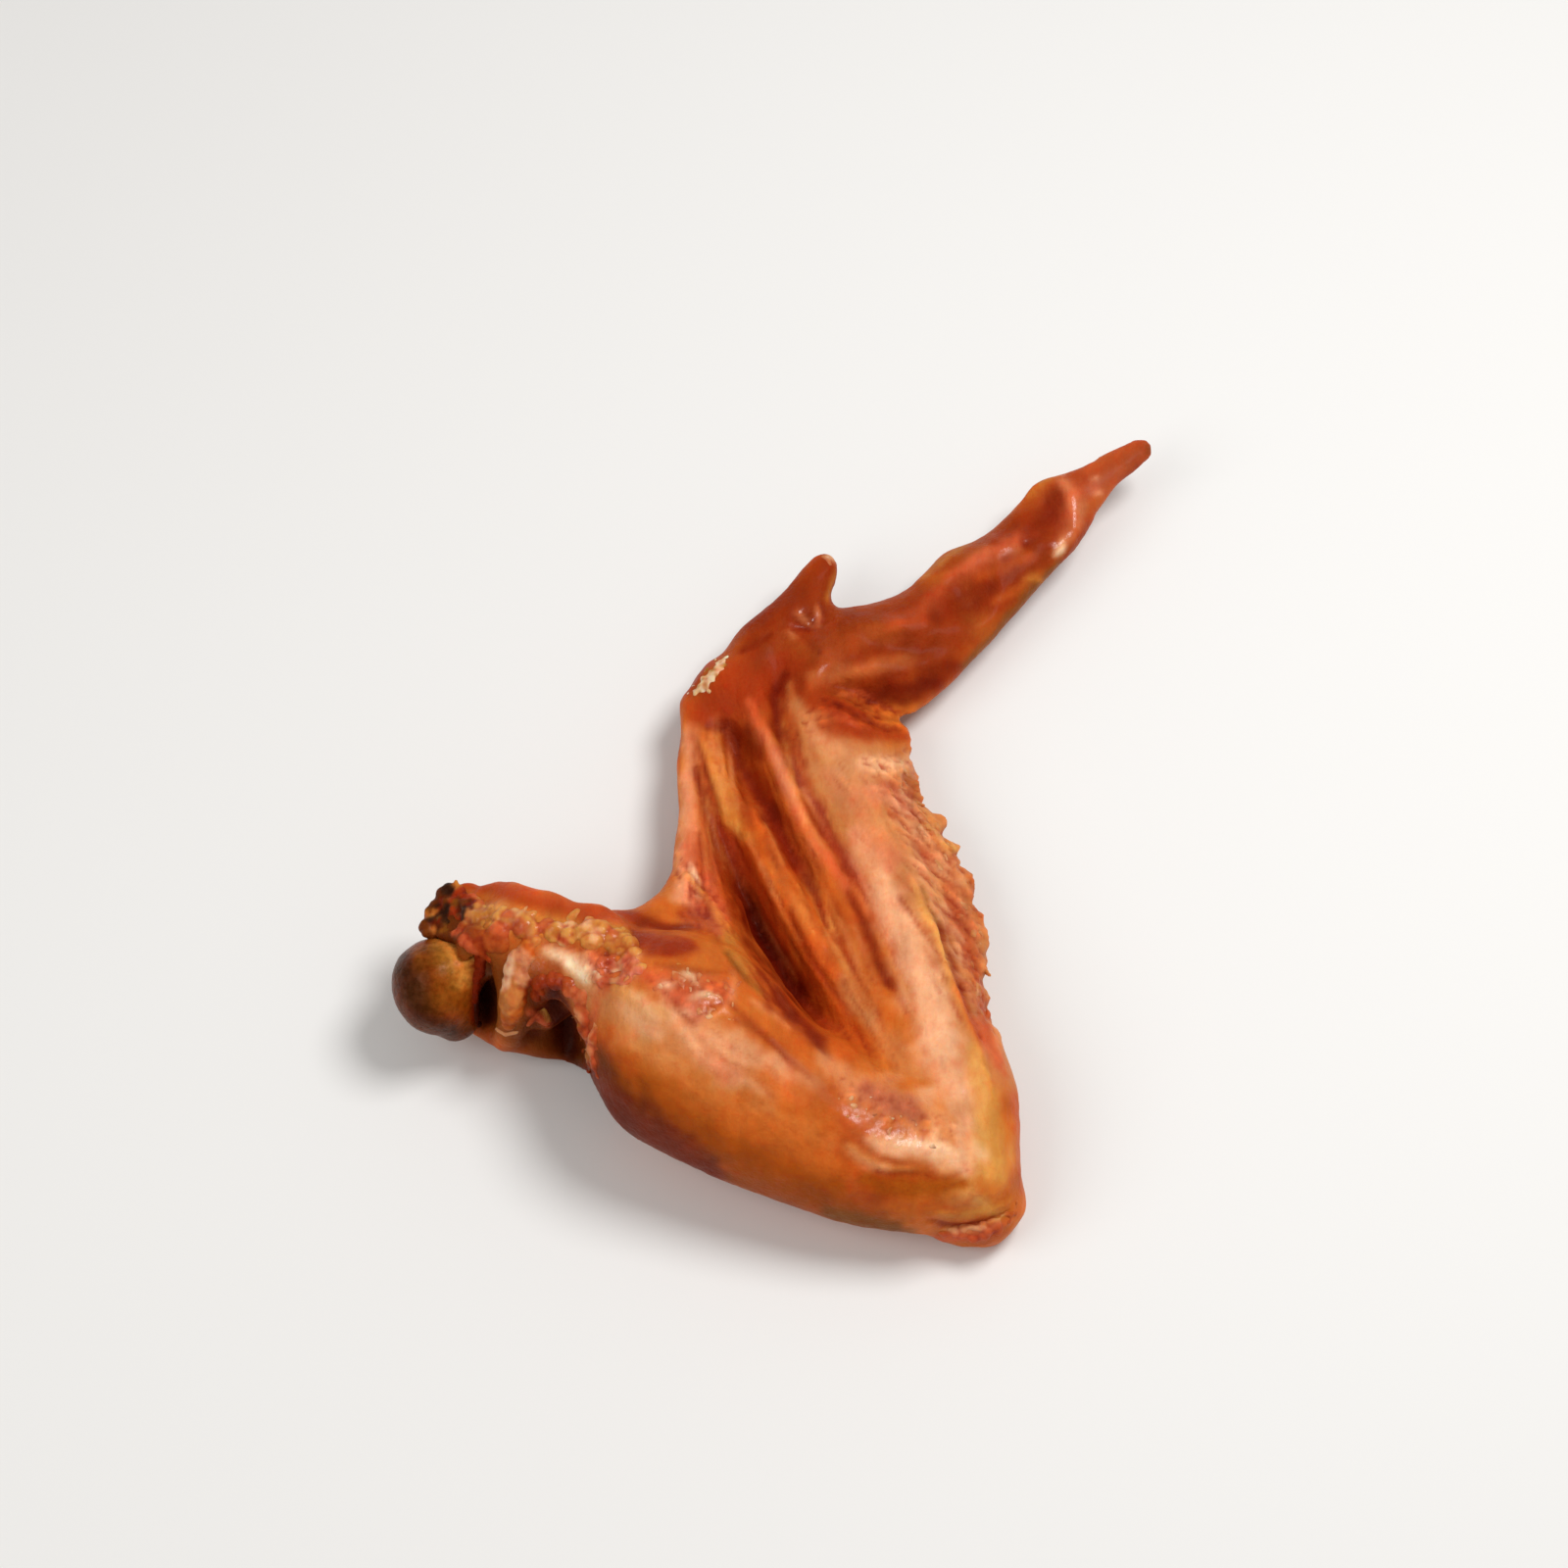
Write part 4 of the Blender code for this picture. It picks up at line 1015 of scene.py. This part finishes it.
# Painted light and shade: the gold, brass and honey on the upper right are paler where light
# falls, and the charcoal and umber on the left and lower side are painted shade.
BONE_STROKES = (
    ("russet", 0.6, ((430, 965, 26), (455, 990, 40), (460, 1030, 36))),
    ("olive", 0.5, ((430, 965, 22), (448, 990, 30), (456, 1020, 26))),
    ("brass", 0.8, ((450, 962, 20), (466, 982, 24), (472, 1006, 18))),
    ("gold", 0.9, ((458, 964, 10), (470, 982, 14), (473, 1002, 10))),
    ("charcoal", 0.5, ((410, 975, 18), (418, 998, 22), (434, 1038, 16), (462, 1052, 14))),
    ("umber", 0.5, ((430, 958, 8), (436, 975, 12), (436, 1000, 12))),
    ("oxblood", 0.7, ((484, 985, 8), (488, 1010, 9), (484, 1040, 9))),
    ("honey", 0.6, ((445, 955, 5), (462, 960, 7), (474, 972, 5))),
)

bone_start = merged_node("arm_bone")
bmesh.ops.subdivide_edges(bone_start, edges=bone_start.edges, cuts=1, use_grid_fill=True, smooth=1)
for _ in range(BONE_EVENING):
    bmesh.ops.smooth_vert(
        bone_start, verts=bone_start.verts, factor=0.5,
        use_axis_x=True, use_axis_y=True, use_axis_z=True,
    )
bone = put_in_scene("arm_bone_end", mesh_from(bone_start, "arm_bone_end"))

bone_points = points_of(bone.data)
swells = BONE_SWELLS * noise_at(bone_points, 12, seed=21)
swells += BONE_PORES * noise_at(bone_points, 4, seed=22)
bone_points = bone_points + MILLIMETRE * swells[:, None] * outward_of(bone.data)
place_points(bone.data, bone_points)
bone_facing = facing_of(bone.data, start=0)
bone_pixels = photo_pixels(bone_points)
bone_pixels = waved(bone_pixels, bone_points, amount=4, size=5, seed=11)
bone_shades = np.tile(plain(COLOURS["umber"]), (len(bone_points), 1))
for colour, strength, line in BONE_STROKES:
    share = strength * cover(bone_pixels, line, FOLD_FULLNESS) * bone_facing
    bone_shades = brushed(bone_shades, colour, share)
give_stain_and_painted_light(bone.data, bone_shades, bone_points)

gristle, place, shader = new_material("gristle")
painted = place.add("ShaderNodeAttribute", {"attribute_name": "stain_and_painted_light"}, {})
clouds = place.speckles(0.006, 5)
stains = place.speckles(0.0016, 4)
colour = painted.shaded(shader_colour("brass"), clouds.between(0.45, 0.7, 0, 0.7))
colour = colour.lit(stains.between(0.35, 0.65, 0.8, 1.3))
fill(shader, {
    "Base Color": colour,
    "Roughness": stains.between(0.3, 0.7, 0.22, 0.38),
    "Coat Weight": stains.between(0.4, 0.7, 0, 0.12),
    "Coat Roughness": 0.2,
    "Specular IOR Level": 0.08,
    "Specular Tint": (1, 0.6, 0.4, 1),
    "Subsurface Weight": 0.15,
    "Subsurface Scale": 0.003,
    "Normal": roughened(place, clouds + 0.3 * stains, 0.0006),
})
dress(bone, gristle)
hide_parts("arm_bone")
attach(bone, "root")


# What is torn and lumpy on the wing: fat and gristle round the cut shoulder, crumbs of dried
# fat at the wrist, and flakes of skin along the forearm's rear edge. All of it grew on the
# skin or was torn from it, so it sits half sunk in it and runs together where it touches.
LUMP_GRID = 0.32 * MILLIMETRE
LUMP_EVENING = 4
WING_MIDDLE = (760, 960)

# How deep a lump sits and how far the next one is, in half widths, how unequal the lumps
# are, how far out of round and in swells of which size, and their dents in millimetres.
LUMP_SINK = 0.5
LUMP_SPACING = 0.3
LUMP_SIZES = 0.7
LUMP_UNEVEN = 0.25
LUMP_SWELL = 1.2
LUMP_DENTS = 0.2

# The rounds of evening of their colours, and the shade between them: how much of it, where
# it starts, how sharply, and the rounds of evening that it is measured against.
LUMP_PAINT_EVENING = 6
LUMP_SHADE = 0.45
LUMP_SHADE_START = 0.4
LUMP_CONTRAST = 4
LUMP_MEAN_ROUNDS = 10

# Rows of lumps: the colour, its share over the skin's, how far the lumps stray from their
# line in half widths, and the line in pixels with its half width there.
LUMPS = (
    # Golden fat along the shoulder's upper edge.
    ("gold", 0.6, 0.6, ((476, 937, 10), (490, 935, 14), (508, 936, 16), (526, 941, 15))),
    ("gold", 0.6, 0.6, ((526, 941, 15), (545, 948, 13), (560, 951, 10))),
    # The straw lumps on the fat's top are partly a painted highlight.
    ("straw", 0.7, 0.5, ((482, 928, 8), (492, 927, 10), (500, 932, 8))),
    ("straw", 0.7, 0.5, ((505, 930, 9), (516, 929, 10), (528, 934, 9))),
    ("honey", 0.6, 0.5, ((500, 948, 13), (520, 953, 13), (542, 958, 10))),
    ("straw", 0.6, 0.5, ((560, 951, 9), (580, 952, 10), (600, 951, 10))),
    ("straw", 0.6, 0.5, ((602, 950, 10), (614, 948, 10), (628, 952, 10), (638, 960, 9))),
    ("gold", 0.6, 0.4, ((640, 964, 8), (645, 978, 7), (644, 990, 6))),
    # Curled coral shreds beside it.
    ("coral", 0.7, 0.2, ((610, 984, 4), (616, 977, 5), (625, 979, 4), (624, 989, 4))),
    ("blush", 0.7, 0.2, ((631, 982, 4), (639, 988, 5), (634, 998, 4), (625, 1002, 4))),
    ("coral", 0.7, 0.2, ((607, 995, 4), (613, 1003, 5), (622, 1000, 4))),
    ("pink", 0.7, 0.2, ((640, 976, 4), (646, 984, 4), (644, 996, 3))),
    # The strand of sinew in front of the bone.
    ("amber", 0.6, 0.1, ((540, 966, 10), (530, 980, 14), (524, 998, 16), (522, 1016, 15))),
    ("amber", 0.6, 0.1, ((522, 1016, 15), (520, 1032, 13), (517, 1048, 9))),
    ("honey", 0.7, 0.1, ((534, 978, 6), (527, 992, 7), (521, 1008, 6), (517, 1026, 5))),
    ("blush", 0.8, 0.1, ((532, 974, 4), (537, 984, 5), (531, 995, 4))),
    # Painted highlight on the sinew.
    ("shell", 0.9, 0, ((521, 983, 3), (519, 995, 4), (517, 1004, 3))),
    # Painted highlight at the sinew's lower edge.
    ("blush", 0.8, 0, ((506, 1050, 3), (516, 1056, 4), (528, 1053, 3))),
    # The dark, torn hood above the bone and the red rim round it.
    ("umber", 0.8, 0.2, ((436, 946, 8), (440, 932, 9), (449, 920, 9), (461, 908, 8))),
    ("umber", 0.8, 0.1, ((470, 956, 7), (458, 956, 7), (446, 955, 7), (435, 952, 6))),
    ("olive", 0.8, 0.3, ((450, 940, 9), (459, 926, 9), (464, 912, 8))),
    ("gold", 0.8, 0.1, ((456, 911, 4), (458, 919, 5), (459, 928, 4))),
    ("rust", 0.8, 0.2, ((470, 912, 6), (475, 924, 6), (470, 936, 6))),
    ("coral", 0.8, 0.2, ((478, 913, 4), (486, 917, 5), (491, 923, 4))),
    ("coral", 0.8, 0.1, ((464, 952, 6), (472, 959, 8), (480, 966, 7), (487, 970, 6))),
    ("copper", 0.7, 0.2, ((474, 944, 9), (486, 952, 10), (500, 960, 10), (514, 964, 10))),
    ("rust", 0.7, 0.1, ((488, 962, 7), (492, 974, 5), (500, 980, 4))),
    ("oxblood", 0.9, 0.2, ((492, 972, 7), (490, 986, 7), (486, 1004, 6), (485, 1022, 6))),
    ("maroon", 0.9, 0.2, ((485, 1022, 6), (486, 1036, 6), (488, 1046, 5))),
    # The rims of the second hollow and the nub in it.
    ("rust", 0.6, 0.3, ((546, 1018, 6), (552, 1006, 8), (564, 999, 9), (578, 1003, 8))),
    ("coral", 0.6, 0.3, ((578, 1003, 8), (590, 1016, 8), (596, 1032, 8), (599, 1048, 8))),
    ("rosewood", 0.7, 0.4, ((599, 1048, 8), (601, 1066, 8), (606, 1082, 8), (612, 1096, 6))),
    ("coral", 0.8, 0.2, ((540, 1043, 5), (549, 1037, 7), (557, 1042, 6))),
    ("straw", 0.9, 0, ((555, 1031, 4), (559, 1038, 4))),
    # The crumpled lip under the elbow.
    ("coral", 0.5, 0.5, ((960, 1260, 4), (978, 1262, 5), (998, 1260, 6), (1016, 1254, 5))),
    ("rosewood", 0.5, 0.5, ((1016, 1254, 5), (1030, 1244, 5), (1038, 1230, 4))),
    # The blush on the lip is partly a painted highlight.
    ("blush", 0.4, 0.5, ((966, 1254, 3), (984, 1254, 4), (1006, 1250, 4), (1024, 1242, 3))),
    # The thumb's torn tip.
    ("blush", 0.6, 0.1, ((840, 568, 3), (845, 570, 4), (848, 576, 3))),
)

# Small scraps: how many, the line that they lie along in pixels and how far they stray from
# it, their half widths and lengths from and to, their turn in degrees and its spread, the
# share of their own colour, and the colours.
SCRAPS = (
    # Crumbs of dried fat at the wrist.
    (90, ((738, 670), (729, 683), (719, 695), (710, 706)), 4, (1.8, 3.2), (0, 2), (0, 90), 0.95,
        ("cream", "cream", "beige", "beige", "shell", "blush", "brass")),
    # Flakes and shreds along the forearm's rear edge.
    (90, ((918, 780), (938, 824), (966, 870), (990, 930), (1004, 1000), (1008, 1036)), 9,
        (1.8, 3.2), (3, 8), (45, 18), 0.4, ("honey", "blush", "apricot", "coral", "blush")),
    # Charred and fatty bits on the hood above the bone.
    (44, ((438, 950), (446, 930), (462, 912), (474, 924), (458, 940)), 6, (2, 4), (3, 9),
        (-50, 30), 0.9, ("umber", "olive", "charcoal", "gold", "oxblood", "rust", "umber")),
    # Beads of fat on the shoulder's crust.
    (32, ((478, 932), (515, 936), (560, 950), (625, 950), (644, 980)), 6, (4, 8), (3, 12),
        (10, 50), 0.75, ("straw", "straw", "honey", "gold", "honey", "straw")),
    (12, ((478, 932), (515, 936), (560, 950), (625, 950)), 8, (2, 4), (1, 6),
        (10, 60), 0.7, ("coral", "beige", "coral", "shell")),
    # Shreds beside it, and on the torn patch below the web.
    (18, ((606, 992), (625, 984), (642, 990)), 8, (2, 4), (2, 7), (45, 60), 0.8,
        ("coral", "pink", "blush", "shell")),
    (40, ((674, 996), (706, 1000), (746, 1000), (742, 1026), (712, 1038)), 7, (1.8, 3.4),
        (1, 7), (60, 50), 0.5, ("blush", "coral", "pink", "honey", "shell")),
    # Beads on the second hollow's right rim.
    (26, ((597, 1030), (601, 1060), (607, 1090)), 4, (2, 3.6), (1, 7), (80, 30), 0.6,
        ("blush", "coral", "honey", "rosewood")),
    # Blisters on the elbow, their pale colours partly a painted highlight.
    (22, ((868, 1124), (905, 1146), (955, 1164)), 9, (1.8, 3), (0, 5), (20, 40), 0.5,
        ("shell", "blush", "cream", "mauve")),
)

# How narrow a scrap's tip is beside its root, and how far its lumps stray in half widths.
SCRAP_TAPER = 0.7
SCRAP_STRAY = 0.2


def surface_of(mesh):
    """The mesh as a surface that a line of sight can be cast on."""
    places = [tuple(vert.co) for vert in mesh.vertices]
    return BVHTree.FromPolygons(places, [tuple(face.vertices) for face in mesh.polygons])


wing_surfaces = (surface_of(skin.data), surface_of(bone.data))


def sight_line(pixel):
    """The direction in which the camera sees this pixel."""
    across = (pixel[0] - PHOTO_SIDE / 2) / FOCAL_PIXELS
    down = (pixel[1] - PHOTO_SIDE / 2) / FOCAL_PIXELS
    return (camera_ahead + camera_right * across - camera_up * down).normalized()


def seen_first(pixel):
    """Where this pixel's line of sight first meets the wing: distance, place and facing."""
    hits = []
    for surface in wing_surfaces:
        place, facing, _, distance = surface.ray_cast(CAMERA_PLACE, sight_line(pixel))
        if place is not None:
            hits.append((distance, place, facing))
    return min(hits, key=lambda hit: hit[0]) if hits else None


def seat(pixel):
    """A place for a lump at this pixel, and the way that it faces. A pixel just off the wing
    takes its distance from the nearest of the wing on the way to the wing's middle."""
    for step in range(100):
        share = step / 100
        hit = seen_first(Vector(pixel).lerp(Vector(WING_MIDDLE), share))
        if hit:
            break
    distance, place, facing = hit
    if step:
        place = CAMERA_PLACE + distance * sight_line(pixel)
        facing = -camera_ahead
    return place, facing


def steps_along(line, spacing):
    """Places along the line, this share of a lump's half width from one to the next."""
    for start, end in zip(line, line[1:]):
        length = math.dist(start[:2], end[:2])
        count = max(1, round(length / (spacing * start[2])))
        for step in range(count):
            yield Vector(start).lerp(Vector(end), step / count)
    yield Vector(line[-1])


lump_chance = random.Random(7)
scraps = []
for count, line, stray, widths, lengths, turns, own_share, colours in SCRAPS:
    for _ in range(count):
        place = place_along(line, lump_chance.random() * (len(line) - 1))
        place += Vector((lump_chance.gauss(0, stray), lump_chance.gauss(0, stray)))
        if not seen_first(place):
            continue
        turn = math.radians(lump_chance.gauss(*turns))
        tip = place + lump_chance.uniform(*lengths) * Vector((math.cos(turn), math.sin(turn)))
        wide = lump_chance.uniform(*widths)
        colour = lump_chance.choice(colours)
        ends = ((*place, wide), (*tip, SCRAP_TAPER * wide))
        scraps.append((colour, own_share, SCRAP_STRAY, ends))

lump_start = bmesh.new()
lump_middles = []
lump_colours = []
for colour, own_share, stray, line in LUMPS + tuple(scraps):
    row_start = bmesh.new()
    for step in steps_along(line, LUMP_SPACING + stray):
        scatter = stray * step[2]
        x = step[0] + lump_chance.gauss(0, scatter)
        y = step[1] + lump_chance.gauss(0, scatter)
        place, facing = seat((x, y))
        number = len(lump_middles)
        wide = step[2] * (1 + LUMP_SIZES * stray * lump_chance.uniform(-1, 1)) * to_metres
        made = bmesh.ops.create_icosphere(row_start, subdivisions=2, radius=wide)["verts"]
        for vert in made:
            swell = noise.noise(vert.co / (LUMP_SWELL * wide) + Vector((number, 0, 0)))
            vert.co *= 1 + LUMP_UNEVEN * min(1, 0.2 + 2 * stray) * swell
        middle = place - facing * LUMP_SINK * wide
        bmesh.ops.translate(row_start, vec=middle, verts=made)
        lump_middles.append(middle)
        lump_colours.append((*plain(COLOURS[colour]), own_share))
    row_mesh = mesh_from(row_start, "row_of_lumps")
    lump_start.from_mesh(row_mesh)
    bpy.data.meshes.remove(row_mesh)
lumps = put_in_scene("torn_flesh", mesh_from(lump_start, "torn_flesh"))
remesh(lumps, LUMP_GRID)

lump_edges = edges_of(lumps.data)
lump_points = evened(points_of(lumps.data), lump_edges, LUMP_EVENING)
place_points(lumps.data, lump_points)
dents = LUMP_DENTS * noise_at(lump_points, 1.8, seed=12)
lump_points = lump_points + MILLIMETRE * dents[:, None] * outward_of(lumps.data)
lump_points[:, 2] = np.maximum(lump_points[:, 2], 0)
place_points(lumps.data, lump_points)

# Each point takes its nearest lump's colour, softened, over the skin's own at that place.
lump_tree = KDTree(len(lump_middles))
for number, middle in enumerate(lump_middles):
    lump_tree.insert(middle, number)
lump_tree.balance()
nearest = [lump_tree.find(point)[1] for point in lump_points]
lump_shades = evened(np.array(lump_colours)[nearest], lump_edges, LUMP_PAINT_EVENING)
around = smoke_and_painted_light_shades(lump_points, facing_of(lumps.data))
lump_shades = around + lump_shades[:, 3:] * (lump_shades[:, :3] - around)
# Painted shade: what lies low between the lumps is darkened.
lump_mean = evened(lump_points, lump_edges, LUMP_MEAN_ROUNDS)
lump_stands = stands_over(lump_points, lump_mean, outward_of(lumps.data))
lump_gap_shade = eased(LUMP_SHADE_START - lump_stands * LUMP_CONTRAST)
lump_shades = darkened(lump_shades, LUMP_SHADE * lump_gap_shade)
give_stain_and_painted_light(lumps.data, lump_shades, lump_points)
dress(lumps, smoked_skin)
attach(lumps, "root")


# The table that it lies on, and the light: one wide soft lamp high up behind it on the
# right, a weaker one on the left, and an even pale room.
FLOOR_HALF_WIDTH = 3

floor_start = bmesh.new()
bmesh.ops.create_grid(floor_start, x_segments=1, y_segments=1, size=FLOOR_HALF_WIDTH)
floor = put_in_scene("floor", mesh_from(floor_start, "floor"))
pale_table, place, shader = new_material("pale_table")
fill(shader, {"Base Color": (0.82, 0.81, 0.79, 1), "Roughness": 0.7})
floor.data.materials.append(pale_table)


def soft_lamp(name, position, size, power):
    """A round lamp of this width in metres and power in watts, turned to the wing."""
    data = bpy.data.lights.new(name, "AREA")
    data.shape = "DISK"
    data.size = size
    data.energy = power
    lamp = put_in_scene(name, data)
    lamp.location = position
    lamp.rotation_euler = (-Vector(position)).to_track_quat("-Z", "Y").to_euler()


soft_lamp("lamp_high", (0.4, 0.15, 0.85), 0.4, 6.0)
soft_lamp("lamp_left", (-0.65, -0.35, 0.75), 0.8, 3.4)
room = bpy.data.worlds.new("room")
room.use_nodes = True
fill(room.node_tree.nodes["Background"], {"Color": (1, 0.98, 0.96, 1), "Strength": 0.35})
bpy.context.scene.world = room
bpy.context.scene.view_settings.view_transform = "Standard"
